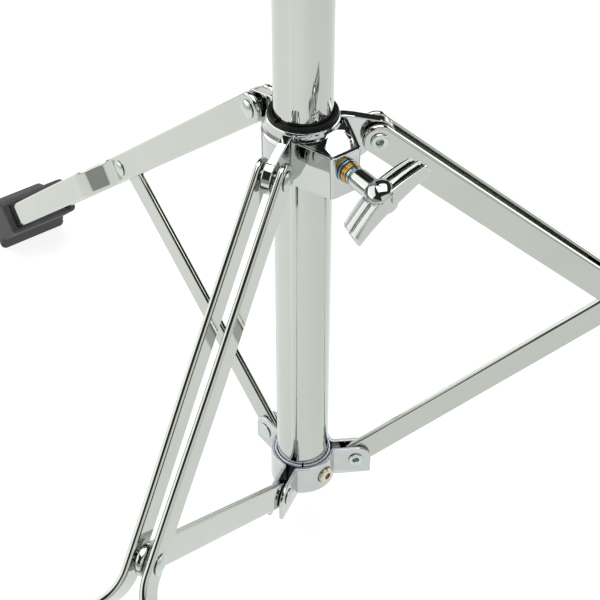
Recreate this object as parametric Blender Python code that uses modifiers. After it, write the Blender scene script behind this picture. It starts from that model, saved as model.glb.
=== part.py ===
"""Cymbal stand: straight stand on a double-braced folding tripod.

Lengths below are in millimetres and are turned into metres when an object is made.
The tube axis is vertical. Legs are numbered 1 to 3 at azimuths -90, 30 and 150 degrees.
"""

import math

import bmesh
import bpy
from mathutils import Euler, Matrix, Vector

# ------------------------------------------------------------------ driving dimensions
MM = 0.001
AXIS_Y = 80.3  # the tube axis stands behind the middle of the footprint's box

LEG_AZ = (-90.0, 30.0, 150.0)  # azimuth of each leg, degrees
BOLT_AZ = -30.0  # azimuth of the wing bolts, half way between legs 1 and 2

TUBE_R, TUBE_WALL = 14.3, 1.5  # base tube, 28.6 mm outside
TUBE_Z0, TUBE_Z1 = 43.0, 500.0
MID_R, MID_WALL = 11.1, 1.2  # middle tube, 22.2 mm outside
MID_Z0, MID_Z1 = 130.0, 840.0
ROD_R, ROD_WALL = 7.95, 1.5  # top tube, 15.9 mm outside
ROD_Z0, ROD_Z1 = 540.0, 1066.0

PIVOT_R, PIVOT_Z = 35.3, 270.1  # leg pivot on the collar
LOWER_R, LOWER_Z = 29.8, 50.0  # brace pivot on the lower clamp
LEG_SLOPE = 39.95  # degrees below level, legs spread
LEG_TO_JOINT = 180.0  # leg pivot to brace joint, along the leg
LEG_END = 408.0  # leg pivot to the end of the bars
BAR_W, BAR_T = 15.9, 3.6  # leg bar section
BAR_HALF_TOP, BAR_HALF_JOINT, BAR_HALF_FOOT = 5.75, 5.2, 19.0  # middle of a bar from the leg's plane
FLARE_START, FLARE_R, FLARE_DEG = 6.6, 23.0, 38.0  # outward bend below the brace joint
BRACE_W, BRACE_T = 15.8, 4.0
GAP = 0.3

ARM_T, ARM_END_R = 5.0, 8.3  # collar arm
COLLAR_R, COLLAR_BORE = 20.0, 16.2
COLLAR_Z0, COLLAR_TOP = -13.0, 13.2  # from the leg pivot's height
FACE_D, FACE_HALF = 33.8, 7.9  # wing-bolt face: distance from the axis and half width
ROOT_D, ROOT_HALF = 11.9, 15.8  # where the housing's side walls meet the arms
SHEET = 2.0

CLAMP_SHEET_R, CLAMP_SHEET_T = 16.95, 2.2  # lower clamp sheet, middle radius and thickness
LUG_HALF = 3.55  # middle of a lug from the brace's plane
LUG_TIP = 38.5

PIN_R = 2.7
BOLT_R = 3.9
WING_TILT = 29.8  # degrees the rest position of the wings is turned
POCKET_DEG = 24.2  # slope of the pocket floor under the web plate's window


# ------------------------------------------------------------------ scene and helpers
for old in list(bpy.data.objects):
    bpy.data.objects.remove(old)

scene = bpy.context.scene
parts = bpy.data.collections.new("cymbal_stand")
helpers = bpy.data.collections.new("cutters")
scene.collection.children.link(parts)
scene.collection.children.link(helpers)


def material(name, colour, roughness, metallic):
    mat = bpy.data.materials.new(name)
    mat.use_nodes = True
    shader = mat.node_tree.nodes["Principled BSDF"]
    shader.inputs["Base Color"].default_value = (*colour, 1.0)
    shader.inputs["Roughness"].default_value = roughness
    shader.inputs["Metallic"].default_value = metallic
    mat.diffuse_color = (*colour, 1.0)
    return mat


CHROME = ("chrome", (0.80, 0.81, 0.79), 0.08, 1.0)
ZINC = ("zinc", (0.62, 0.70, 0.69), 0.25, 1.0)
BLUE_ZINC = ("blue_zinc", (0.35, 0.50, 0.56), 0.25, 1.0)
BRASS = ("brass", (0.80, 0.56, 0.22), 0.2, 1.0)
NYLON = ("black_nylon", (0.015, 0.015, 0.017), 0.4, 0.0)
RUBBER = ("black_rubber", (0.02, 0.02, 0.02), 0.7, 0.0)
FELT = ("felt", (0.10, 0.10, 0.11), 0.95, 0.0)
STEEL = ("set_screw_steel", (0.62, 0.57, 0.45), 0.3, 1.0)


def rad(deg):
    return math.radians(deg)


def new_object(name, mesh, mat, collection=None):
    obj = bpy.data.objects.new(name, mesh)
    (collection or parts).objects.link(obj)
    if mat:
        mesh.materials.clear()
        mesh.materials.append(material(name + "_" + mat[0], *mat[1:]))
        mesh.shade_smooth()
        mesh.set_sharp_from_angle(angle=rad(32))
    return obj


def place(obj, location=(0, 0, 0), turn=(0, 0, 0), parent=None):
    obj.location = [v * MM for v in location]
    obj.rotation_euler = [rad(v) for v in turn]
    obj.parent = parent or axis
    return obj


def empty(name, location, turn=(0, 0, 0), parent=None):
    obj = bpy.data.objects.new(name, None)
    obj.empty_display_size = 0.02
    parts.objects.link(obj)
    return place(obj, location, turn, parent)


axis = bpy.data.objects.new("tube_axis", None)
parts.objects.link(axis)
axis.location = (0.0, AXIS_Y * MM, 0.0)


def mesh_of(bm, name):
    bmesh.ops.recalc_face_normals(bm, faces=bm.faces)
    mesh = bpy.data.meshes.new(name)
    bm.to_mesh(mesh)
    bm.free()
    return mesh


def turned(name, profile, mat, steps=32, closed=True, collection=None):
    """A profile of (radius, height) points at +X, turned about Z. It runs down the outer side."""
    mesh = bpy.data.meshes.new(name)
    points = [(r * MM, 0.0, z * MM) for r, z in profile]
    count = len(points)
    edges = [(i, i + 1) for i in range(count - 1)] + ([(count - 1, 0)] if closed else [])
    mesh.from_pydata(points, edges, [])
    obj = new_object(name, mesh, mat, collection)
    screw = obj.modifiers.new("turn", "SCREW")
    screw.axis = "Z"
    screw.angle = 2 * math.pi
    screw.steps = steps
    screw.render_steps = steps
    screw.use_merge_vertices = True
    screw.merge_threshold = 0.00001
    screw.use_smooth_shade = True
    return obj


def ring(outer, inner, z0, z1, chamfer=0.0):
    """Closed profile of a plain sleeve."""
    c = chamfer
    if c:
        return [(outer - c, z1), (outer, z1 - c), (outer, z0 + c), (outer - c, z0), (inner, z0), (inner, z1)]
    return [(outer, z1), (outer, z0), (inner, z0), (inner, z1)]


def baked(obj, mat=None):
    """The object with its modifiers applied, as a mesh object of the same name."""
    bpy.context.view_layer.update()
    graph = bpy.context.evaluated_depsgraph_get()
    mesh = bpy.data.meshes.new_from_object(obj.evaluated_get(graph))
    name, matrix = obj.name, obj.matrix_world.copy()
    collection = obj.users_collection[0]
    bpy.data.objects.remove(obj)
    bm = bmesh.new()
    bm.from_mesh(mesh)
    bmesh.ops.remove_doubles(bm, verts=bm.verts, dist=0.000002)
    bmesh.ops.recalc_face_normals(bm, faces=bm.faces)
    bm.to_mesh(mesh)
    bm.free()
    made = bpy.data.objects.new(name, mesh)
    collection.objects.link(made)
    made.matrix_world = matrix
    return made


def flat(name, outline, thickness, mat=None, holes=(), collection=None):
    """A flat plate in the local XY plane, made from a filled 2D curve and centred on Z."""
    curve = bpy.data.curves.new(name, "CURVE")
    curve.dimensions = "2D"
    curve.fill_mode = "BOTH"
    curve.extrude = thickness * MM / 2
    for loop in [outline, *holes]:
        spline = curve.splines.new("POLY")
        spline.points.add(len(loop) - 1)
        for point, (x, y) in zip(spline.points, loop):
            point.co = (x * MM, y * MM, 0.0, 1.0)
        spline.use_cyclic_u = True
    obj = bpy.data.objects.new(name, curve)
    (collection or parts).objects.link(obj)
    made = baked(obj)
    if mat:
        made.data.materials.clear()
        made.data.materials.append(material(name + "_" + mat[0], *mat[1:]))
        made.data.shade_smooth()
        made.data.set_sharp_from_angle(angle=rad(32))
    return made


def circle(x, y, r, count=16, start=0.0, sweep=360.0):
    closed = abs(sweep) >= 360.0
    steps = count if closed else count - 1
    return [
        (x + r * math.cos(rad(start + sweep * i / steps)), y + r * math.sin(rad(start + sweep * i / steps)))
        for i in range(count)
    ]


def ribbon(name, path, low, high, thickness, mat, upright=True, collection=None):
    """A strip along a plan path with its own low and high edge at each station, given thickness by Solidify."""
    bm = bmesh.new()
    rows = []
    for (x, y), a, b in zip(path, low, high):
        rows.append((bm.verts.new((x * MM, y * MM, a * MM)), bm.verts.new((x * MM, y * MM, b * MM))))
    for (a, b), (c, d) in zip(rows, rows[1:]):
        bm.faces.new((a, c, d, b))
    mesh = bpy.data.meshes.new(name)
    bm.to_mesh(mesh)
    bm.free()
    obj = new_object(name, mesh, mat, collection)
    solid = obj.modifiers.new("sheet", "SOLIDIFY")
    solid.thickness = thickness * MM
    solid.offset = 0.0
    solid.use_even_offset = True
    return obj


def cylinder(name, r, z0, z1, steps=16, r1=None, mat=None, collection=None):
    bm = bmesh.new()
    bmesh.ops.create_cone(
        bm, cap_ends=True, segments=steps, radius1=r * MM, radius2=(r if r1 is None else r1) * MM, depth=(z1 - z0) * MM
    )
    bmesh.ops.translate(bm, verts=bm.verts, vec=(0, 0, (z0 + z1) / 2 * MM))
    return new_object(name, mesh_of(bm, name), mat, collection or helpers)


def cube(name, low, high, mat=None, collection=None):
    bm = bmesh.new()
    bmesh.ops.create_cube(bm, size=1.0)
    for v in bm.verts:
        v.co = [((low[i] + high[i]) / 2 + v.co[i] * (high[i] - low[i])) * MM for i in range(3)]
    return new_object(name, mesh_of(bm, name), mat, collection or helpers)


def hide(obj):
    obj.hide_render = True
    obj.display_type = "WIRE"
    if obj.name not in helpers.objects:
        for c in list(obj.users_collection):
            c.objects.unlink(obj)
        helpers.objects.link(obj)
    return obj


def boolean(obj, other, operation="DIFFERENCE"):
    hide(other)
    mod = obj.modifiers.new(operation.lower(), "BOOLEAN")
    mod.operation = operation
    mod.solver = "EXACT"
    mod.object = other
    return obj


def around(az, r, z, t=0.0):
    """A point at azimuth az, radius r and height z, moved t sideways."""
    c, s = math.cos(rad(az)), math.sin(rad(az))
    return (r * c - t * s, r * s + t * c, z)


# ------------------------------------------------------------------ tubes
tube = turned("base_tube", ring(TUBE_R, TUBE_R - TUBE_WALL, TUBE_Z0, TUBE_Z1), CHROME, 28)
place(tube)
place(
    turned(
        "tube_end_plug",
        [(0, 52), (12.3, 52), (12.5, 51), (12.5, TUBE_Z0 - GAP), (TUBE_R, TUBE_Z0 - GAP), (TUBE_R - 0.4, 40.2), (0, 40.2)],
        RUBBER,
        20,
        closed=False,
    )
)
middle = empty("middle_slide", (0, 0, MID_Z0))
place(turned("middle_tube", ring(MID_R, MID_R - MID_WALL, 0, MID_Z1 - MID_Z0), CHROME, 24), parent=middle)
top = empty("top_slide", (0, 0, ROD_Z0 - MID_Z0), parent=middle)
place(turned("top_tube", ring(ROD_R, ROD_R - ROD_WALL, 0, ROD_Z1 - ROD_Z0), CHROME, 20), parent=top)


# ------------------------------------------------------------------ lower clamp
clamp = empty("lower_clamp", (0, 0, LOWER_Z))
place(turned("lower_clamp_sleeve", ring(15.55, 14.6, -12.2, 9.9), STEEL, 28), parent=clamp)


def segment_path():
    """Plan path of one bent clamp sheet, from the lug at one brace round to the lug at the next brace."""
    bend = 3.2
    start = math.degrees(math.asin((LUG_HALF + bend) / (CLAMP_SHEET_R + bend)))
    cx, cy = (CLAMP_SHEET_R + bend) * math.cos(rad(start)), LUG_HALF + bend
    half = []
    for r in (LUG_TIP, 37.4, 35.4, 32.8, 29.8):
        top = math.sqrt(max(0.0, 8.7**2 - (r - LOWER_R) ** 2)) - 0.3
        half.append((r, LUG_HALF, -11.0, min(8.2, top)))
    for k in range(4):
        a = rad(270 - (90 - start) * k / 3)
        half.append((cx + bend * math.cos(a), cy + bend * math.sin(a), -10.6, 8.8))
    arc = []
    for k in range(1, 9):
        a = rad(start + (120 - 2 * start) * k / 9)
        arc.append((CLAMP_SHEET_R * math.cos(a), CLAMP_SHEET_R * math.sin(a), -10.2, 9.3))
    # the other half is the mirror image about the bisector at 60 degrees
    c, s = math.cos(rad(120)), math.sin(rad(120))
    mirrored = [(x * c + y * s, x * s - y * c, low, high) for x, y, low, high in reversed(half)]
    stations = half + arc + mirrored
    return [(x, y) for x, y, low, high in stations], [v[2] for v in stations], [v[3] for v in stations]


seg_path, seg_low, seg_high = segment_path()
lug_pins = []
for i, az in enumerate(LEG_AZ):
    pin = cylinder(f"lug_bore_{i + 1}", PIN_R + 0.3, -10, 10, 12)
    place(pin, around(az, LOWER_R, 0), (90, 0, az), clamp)
    lug_pins.append(pin)
screw_bore = cylinder("set_screw_bore", 5.1, 12, 30, 16)
place(screw_bore, (0, 0, -0.5), (0, 90, -21), clamp)
for i, az in enumerate(LEG_AZ):
    seg = ribbon(f"lower_clamp_segment_{i + 1}", seg_path, seg_low, seg_high, CLAMP_SHEET_T, CHROME)
    place(seg, turn=(0, 0, az), parent=clamp)
    boolean(seg, lug_pins[i])
    boolean(seg, lug_pins[(i + 1) % 3])
    if i == 0:
        boolean(seg, screw_bore)
boolean(bpy.data.objects["lower_clamp_sleeve"], screw_bore)
screw = turned(
    "clamp_set_screw", [(0, 19.9), (4.2, 19.9), (4.8, 19.3), (4.8, 14.8), (0, 14.8)], STEEL, 16, closed=False
)
place(screw, (0, 0, -0.5), (0, 90, -21), clamp)
hexagon = cylinder("hex_socket", 2.3, 17.2, 21, 6)
place(hexagon, (0, 0, -0.5), (0, 90, -21), clamp)
boolean(screw, hexagon)


# ------------------------------------------------------------------ rivets
def rivet(name, half, head_r, head_h, tail_r, mat, parent, location, turn):
    """A rivet along local Z: domed head at the top, shank, and a rolled hollow end at the bottom."""
    h = half + 0.15
    dome = [(head_r * math.sin(rad(a)), h + head_h * math.cos(rad(a))) for a in (0, 30, 60)]
    profile = dome + [
        (head_r, h + 0.25),
        (head_r, h),
        (PIN_R, h),
        (PIN_R, -h),
        (tail_r, -h),
        (tail_r, -h - 0.7),
        (tail_r - 0.9, -h - 1.1),
        (1.9, -h - 1.0),
        (1.7, -h + 1.5),
        (0, -h + 1.5),
    ]
    return place(turned(name, profile, mat, 12, closed=False), location, turn, parent)


for i, az in enumerate(LEG_AZ):
    rivet(f"lower_rivet_{i + 1}", LUG_HALF + CLAMP_SHEET_T / 2, 4.7, 1.9, 4.2, ZINC, clamp, around(az, LOWER_R, 0), (-90, 0, az))


# ------------------------------------------------------------------ collar
collar = empty("collar_slide", (0, 0, PIVOT_Z))


def cone_top(r):
    """Height of the housing's walls at radius r."""
    return 11.3 - 0.12 * (r - 20.0)


def web_top(r):
    """Height of the web plate at radius r."""
    return cone_top(r) - 0.55 - 0.5 * (33.0 - r) / 13.0


def arm_top(r):
    """Height of the arms' top edge at radius r."""
    return 12.2 - 0.19 * (r - 20.0)


body = turned(
    "leg_collar",
    [
        (17.1, COLLAR_TOP),
        (17.6, COLLAR_TOP - 0.6),
        (18.2, COLLAR_TOP - 4.2),
        (19.0, COLLAR_TOP - 6.2),
        (COLLAR_R, COLLAR_TOP - 7.6),
        (COLLAR_R, COLLAR_Z0),
        (COLLAR_BORE, COLLAR_Z0),
        (COLLAR_BORE, COLLAR_TOP),
    ],
    CHROME,
    36,
)
place(body, parent=collar)

arm_outline = (
    [(18.0, -12.4), (27.0, -12.0)]
    + circle(PIVOT_R, 0, ARM_END_R, 9, -112.0, 197.0)
    + [(20.0, arm_top(20.0)), (18.0, arm_top(20.0) - 0.6)]
)
arm_bores = []
for i, az in enumerate(LEG_AZ):
    arm = flat(f"arm_blank_{i + 1}", arm_outline, ARM_T, collection=helpers)
    place(arm, turn=(90, 0, az), parent=collar)
    boolean(body, arm, "UNION")
    bore = cylinder(f"arm_bore_{i + 1}", PIN_R + 0.3, -10, 10, 12)
    place(bore, around(az, PIVOT_R, 0), (90, 0, az), collar)
    arm_bores.append(bore)

wall_path = [(ROOT_D, -ROOT_HALF), (FACE_D - SHEET / 2, -FACE_HALF + 0.7), (FACE_D - SHEET / 2, FACE_HALF - 0.7), (ROOT_D, ROOT_HALF)]
walls = ribbon(
    "housing_walls", wall_path, [-13.6] * 4, [cone_top(19.8), 9.4, 9.4, cone_top(19.8)], SHEET, None, collection=helpers
)
place(walls, turn=(0, 0, BOLT_AZ), parent=collar)
boolean(body, walls, "UNION")

web = turned(
    "web_cone",
    [(17.6, web_top(17.6)), (36.0, web_top(36.0)), (36.0, web_top(36.0) - 2.0), (17.6, web_top(17.6) - 2.0)],
    None,
    36,
    collection=helpers,
)
place(web, parent=collar)
outline = flat(
    "web_outline",
    [(ROOT_D - 2, -ROOT_HALF - 0.2), (FACE_D - SHEET / 2, -FACE_HALF + 0.4), (FACE_D - SHEET / 2, FACE_HALF - 0.4), (ROOT_D - 2, ROOT_HALF + 0.2)],
    60,
    collection=helpers,
)
place(outline, turn=(0, 0, BOLT_AZ), parent=collar)
boolean(web, outline, "INTERSECT")
window = flat(
    "web_window",
    [(31.4, -6.7), (31.4, 6.6), (27.6, 8.7), (24.3, 9.5), (20.7, 8.9), (19.2, 7.2), (19.1, 5.2), (19.4, 2.4), (20.0, -0.6), (24.7, -5.9)],
    60,
    collection=helpers,
)
place(window, turn=(0, 0, BOLT_AZ), parent=collar)
boolean(web, window)
boolean(body, web, "UNION")
pocket = flat(
    "pocket_floor",
    [((u - 18.5) / math.cos(rad(POCKET_DEG)), v) for u, v in ((17.4, 0.8), (20.6, -4.2), (25.0, -10.4), (32.4, -7.7), (32.4, 7.7), (24.5, 10.8), (18.6, 9.9), (17.2, 6.4))],
    1.0,
    collection=helpers,
)
place(pocket, around(BOLT_AZ, 18.5, 10.1), (0, POCKET_DEG, BOLT_AZ), collar)
boolean(body, pocket, "UNION")
for bore in arm_bores:
    boolean(body, bore)
face_bore = cylinder("face_bore", 5.1, 24, 40, 16)
place(face_bore, (0, 0, 0.5), (0, 90, BOLT_AZ), collar)
boolean(body, face_bore)
ring_bore = cylinder("ring_bore", BOLT_R + 0.4, 10, 26, 12)
place(ring_bore, (0, 0, 0.5), (0, 90, BOLT_AZ), collar)
boolean(body, ring_bore)

bush = turned(
    "collar_bush",
    [
        (14.9, COLLAR_TOP + 2.4),
        (16.4, COLLAR_TOP + 2.4),
        (16.8, COLLAR_TOP + 1.9),
        (16.8, COLLAR_TOP + GAP),
        (COLLAR_BORE - GAP, COLLAR_TOP + GAP),
        (COLLAR_BORE - GAP, COLLAR_Z0 + 0.5),
        (14.6, COLLAR_Z0 + 0.5),
        (14.6, COLLAR_TOP + 2.2),
    ],
    NYLON,
    24,
)
place(bush, parent=collar)
boolean(bush, ring_bore)

place(
    turned(
        "collar_bolt_bushing",
        [(4.9, 38.3), (5.3, 37.9), (5.3, 35.7), (4.7, 35.4), (4.7, 28.5), (4.25, 28.5), (4.25, 38.3)],
        BRASS,
        16,
    ),
    (0, 0, 0.5),
    (0, 90, BOLT_AZ),
    collar,
)
place(
    turned("collar_bolt_washer", ring(5.8, 5.0, FACE_D + GAP, 35.1), BLUE_ZINC, 16),
    (0, 0, 0.5),
    (0, 90, BOLT_AZ),
    collar,
)
for i, az in enumerate(LEG_AZ):
    rivet(
        f"upper_rivet_{i + 1}", BAR_HALF_TOP + BAR_T / 2, 5.0, 2.1, 4.4, ZINC, collar, around(az, PIVOT_R, 0), (-90, 0, az)
    )


# ------------------------------------------------------------------ wing bolts
def wing_bolt(name, tip, hub, boss, span, parent, location, turn, scale=1.0, shoulder=0.0):
    """A wing bolt along local Z, pointing out of the part: shank from tip, hub, two swept wings and a round boss across them."""
    k = scale
    z_ball = hub + 14.7 * k
    middle = z_ball + 5.5 * k
    profile = [(0, middle), (5.4 * k, middle), (5.4 * k, hub + 2.0), (4.7 * k, hub)]
    z = hub
    if shoulder:
        profile += [(4.7, hub), (4.7, hub - shoulder)]
        z -= shoulder
    profile += [(BOLT_R, z), (BOLT_R, tip + 0.6), (BOLT_R - 0.6, tip), (0, tip)]
    obj = turned(name, profile, CHROME, 12, closed=False)
    place(obj, location, turn, parent)
    spin = Euler([rad(a) for a in turn]).to_matrix()
    half = [(0, 8.9 * k), (3.6 * k, 8.1 * k), (boss * k - 0.35 * k, 5.9 * k), (boss * k, 5.3 * k)]
    under = [(min(r, 6.1 * k), -h) for r, h in reversed(half)]
    lump = turned(name + "_boss", half + under, None, 16, closed=False, collection=helpers)
    seat = Vector(location) + spin @ Vector((0, 0, middle))
    place(lump, tuple(seat), as_degrees((spin @ Matrix.Rotation(rad(-90), 3, "X")).to_euler()), parent)
    boolean(obj, lump, "UNION")
    bm = bmesh.new()
    rows = []
    for f in (-1.0, -0.72, -0.4, 0.0, 0.4, 0.72, 1.0):
        out = z_ball + 5.6 * k + 3.1 * k * (0.165 * abs(f) + 0.835 * f * f)
        hh = (5.3 - 1.9 * abs(f)) * k
        hd = 5.8 * k
        row = []
        for du, dh in ((-hd, -hh), (-hd, hh), (hd, hh), (hd, -hh)):
            s = span * f * (1 + 0.06 * du / hd)
            row.append(bm.verts.new((s * MM, dh * MM, (out + du) * MM)))
        rows.append(row)
    for a, b in zip(rows, rows[1:]):
        for i in range(4):
            bm.faces.new((a[i], a[(i + 1) % 4], b[(i + 1) % 4], b[i]))
    bm.faces.new(rows[0])
    bm.faces.new(rows[-1][::-1])
    wings = new_object(name + "_wings", mesh_of(bm, name + "_wings"), None, helpers)
    place(wings, location, turn, parent)
    boolean(obj, wings, "UNION")
    return obj


def outward(az, roll):
    """Turn that points local Z outwards at azimuth az and rolls local X by roll degrees from sideways."""
    return (Matrix.Rotation(rad(az), 3, "Z") @ Matrix.Rotation(rad(90), 3, "Y") @ Matrix.Rotation(rad(90 + roll), 3, "Z")).to_euler()


def as_degrees(euler):
    return [math.degrees(v) for v in euler]


wing_bolt(
    "collar_wing_bolt", 14.7, 40.0, 6.9, 22.2, collar, (0, 0, 0.5), as_degrees(outward(BOLT_AZ, WING_TILT)), 0.95, shoulder=1.35
)


# ------------------------------------------------------------------ legs and braces
def bar_path():
    """Centre line of a leg bar in the plane of the leg: along it and sideways."""
    pts = [(-8.1, BAR_HALF_TOP), (-7.6, BAR_HALF_TOP), (-6.3, BAR_HALF_TOP), (-4.2, BAR_HALF_TOP), (-1.0, BAR_HALF_TOP)]
    pts += [(90.0, BAR_HALF_TOP), (LEG_TO_JOINT - 12, BAR_HALF_JOINT), (LEG_TO_JOINT + FLARE_START, BAR_HALF_JOINT)]
    x, y = LEG_TO_JOINT + FLARE_START, BAR_HALF_JOINT
    steps = 4
    for k in range(1, steps + 1):
        a = rad(FLARE_DEG * k / steps)
        pts.append((x + FLARE_R * math.sin(a), y + FLARE_R * (1 - math.cos(a))))
    x1, y1 = pts[-1]
    rise = FLARE_R * (1 - math.cos(rad(FLARE_DEG)))
    run = (BAR_HALF_FOOT - y1 - rise) / math.tan(rad(FLARE_DEG))
    x2, y2 = x1 + run, BAR_HALF_FOOT - rise
    pts.append((x2, y2))
    cx = x2 + FLARE_R * math.sin(rad(FLARE_DEG))
    for k in range(1, steps + 1):
        a = rad(FLARE_DEG * (1 - k / steps))
        pts.append((cx - FLARE_R * math.sin(a), BAR_HALF_FOOT - FLARE_R * (1 - math.cos(a))))
    pts.append((LEG_END, BAR_HALF_FOOT))
    half = [min(BAR_W / 2, math.sqrt(max(0.4, 8.2**2 - min(0.0, p[0]) ** 2))) for p in pts]
    return pts, half


path, half = bar_path()
foot_x = PIVOT_R + 392.0 * math.cos(rad(LEG_SLOPE))
# foot outline in the upright plane of the leg, from the leg pivot: x outwards, y up
drop = -PIVOT_Z
end_x, end_y = 402.0 * math.cos(rad(LEG_SLOPE)), -402.0 * math.sin(rad(LEG_SLOPE))
ux, uy = -math.cos(rad(LEG_SLOPE)), math.sin(rad(LEG_SLOPE))
nx, ny = math.sin(rad(LEG_SLOPE)), math.cos(rad(LEG_SLOPE))
foot_outline = [
    (end_x - 14.0, drop),
    (end_x + 12.0, drop),
    (end_x + 18.0, drop + 2.2),
    (end_x + 21.0, drop + 7.5),
    (end_x + 20.5, drop + 14.5),
    (end_x + 16.5, drop + 20.5),
    (end_x + ux * 4 + nx * 13.5, end_y + uy * 4 + ny * 13.5),
    (end_x + ux * 40 + nx * 11.6, end_y + uy * 40 + ny * 11.6),
    (end_x + ux * 42 + nx * 10.0, end_y + uy * 42 + ny * 10.0),
    (end_x + ux * 42 - nx * 10.0, end_y + uy * 42 - ny * 10.0),
    (end_x + ux * 40 - nx * 11.6, end_y + uy * 40 - ny * 11.6),
    (end_x + ux * 12 - nx * 12.5, end_y + uy * 12 - ny * 12.5),
]
legs = []
for i, az in enumerate(LEG_AZ):
    hinge = empty(f"leg_{i + 1}_hinge", around(az, PIVOT_R, 0), (0, 0, az), collar)
    for side, sign in (("right", 1.0), ("left", -1.0)):
        bar = ribbon(f"leg_{i + 1}_bar_{side}", [(x, y * sign) for x, y in path], [-h for h in half], half, BAR_T, CHROME)
        place(bar, turn=(0, LEG_SLOPE, 0), parent=hinge)
        for label, s, r in (("pivot", 0.0, PIN_R + 0.3), ("joint", LEG_TO_JOINT, PIN_R + 0.3)):
            bore = cylinder(f"leg_{i + 1}_{side}_{label}_bore", r, -12, 12, 12)
            place(bore, (s * math.cos(rad(LEG_SLOPE)), 0, -s * math.sin(rad(LEG_SLOPE))), (90, 0, 0), hinge)
            boolean(bar, bore)
    foot = flat(f"leg_{i + 1}_foot", foot_outline, 50.0, RUBBER)
    place(foot, turn=(90, 0, 0), parent=hinge)
    for side, sign in (("right", 1.0), ("left", -1.0)):
        y = BAR_HALF_FOOT * sign
        slot = cube(
            f"leg_{i + 1}_{side}_foot_slot",
            (340.0, y - BAR_T / 2 - GAP, -BAR_W / 2 - GAP),
            (LEG_END + GAP, y + BAR_T / 2 + GAP, BAR_W / 2 + GAP),
        )
        place(slot, turn=(0, LEG_SLOPE, 0), parent=hinge)
        boolean(foot, slot)
    # the brace joint's rivet: its domed head in the right bar and its hollow end in the left bar
    jx, jz = LEG_TO_JOINT * math.cos(rad(LEG_SLOPE)), -LEG_TO_JOINT * math.sin(rad(LEG_SLOPE))
    inner, outer = BAR_HALF_JOINT - BAR_T / 2, BAR_HALF_JOINT + BAR_T / 2
    h = outer + 0.15
    head = [(5.0 * math.sin(rad(a)), h + 1.7 * math.cos(rad(a))) for a in (0, 30, 60)]
    head += [(5.0, h + 0.2), (5.0, h), (PIN_R, h), (PIN_R, inner), (0, inner)]
    place(turned(f"leg_{i + 1}_joint_rivet_head", head, ZINC, 12, closed=False), (jx, 0, jz), (-90, 0, 0), hinge)
    tail = [(0, -inner), (PIN_R, -inner), (PIN_R, -h), (4.3, -h), (4.3, -h - 0.7), (3.4, -h - 1.1), (1.9, -h - 1.0), (1.7, -h + 1.5), (0, -h + 1.5)]
    place(turned(f"leg_{i + 1}_joint_rivet_tail", tail, ZINC, 12, closed=False), (jx, 0, jz), (-90, 0, 0), hinge)

    joint_r = PIVOT_R + LEG_TO_JOINT * math.cos(rad(LEG_SLOPE))
    joint_z = PIVOT_Z - LEG_TO_JOINT * math.sin(rad(LEG_SLOPE))
    dr, dz = joint_r - LOWER_R, joint_z - LOWER_Z
    length, slope = math.hypot(dr, dz), math.degrees(math.atan2(dz, dr))
    base = empty(f"brace_{i + 1}_hinge", around(az, LOWER_R, 0), (0, 0, az), clamp)
    strip = (
        circle(0, 0, BRACE_W / 2, 10, 90.0, 180.0)
        + circle(length, 0, BRACE_W / 2, 10, -90.0, 180.0)
    )
    brace = flat(
        f"brace_{i + 1}", strip, BRACE_T, CHROME, [circle(0, 0, PIN_R + 0.3, 12), circle(length, 0, PIN_R + 0.3, 12)]
    )
    place(brace, turn=(90, -slope, 0), parent=base)
    brace.rotation_euler = (Matrix.Rotation(rad(-slope), 3, "Y") @ Matrix.Rotation(rad(90), 3, "X")).to_euler()


# ------------------------------------------------------------------ height clamps and memory locks
def height_clamp(prefix, z, tube_r, tube_wall, inner_r, parent, az, wing_scale):
    """A cast clamp round the top of a tube, with its nylon insert and wing bolt."""
    out = tube_r + 5.2
    lip = inner_r + 2.0
    shell = turned(
        prefix + "_body",
        [
            (out - 1.2, z + 6.0),
            (out, z + 4.6),
            (out, z - 30.0),
            (out - 1.0, z - 34.0),
            (tube_r + GAP, z - 34.0),
            (tube_r + GAP, z + GAP),
            (lip, z + GAP),
            (lip, z + 6.0),
        ],
        CHROME,
        24,
    )
    place(shell, parent=parent)
    boss = flat(
        prefix + "_boss",
        [(tube_r + 1.5, -9.0), (out + 6.0, -7.5), (out + 9.0, -6.0), (out + 9.0, 6.0), (out + 6.0, 7.5), (tube_r + 1.5, 9.0)],
        22.0,
        collection=helpers,
    )
    place(boss, (0, 0, z - 15.0), (0, 0, az), parent)
    boolean(shell, boss, "UNION")
    bore = cylinder(prefix + "_bore", BOLT_R + 0.4, 2.0, out + 14.0, 12)
    place(bore, (0, 0, z - 15.0), (0, 90, az), parent)
    boolean(shell, bore)
    wall_inner = tube_r - tube_wall
    insert = turned(
        prefix + "_insert",
        [
            (out - 2.6, z + 8.6),
            (out - 2.0, z + 8.0),
            (out - 2.0, z + 6.3),
            (wall_inner - GAP, z + 6.3),
            (wall_inner - GAP, z - 32.0),
            (inner_r + GAP, z - 32.0),
            (inner_r + GAP, z + 8.6),
        ],
        NYLON,
        20,
    )
    place(insert, parent=parent)
    boolean(insert, bore)
    wing_bolt(
        prefix + "_wing_bolt",
        inner_r + 0.4,
        out + 10.0,
        6.9,
        20.0 * wing_scale,
        parent,
        (0, 0, z - 15.0),
        as_degrees(outward(az, WING_TILT)),
        0.9 * wing_scale,
    )
    return bore


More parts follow.
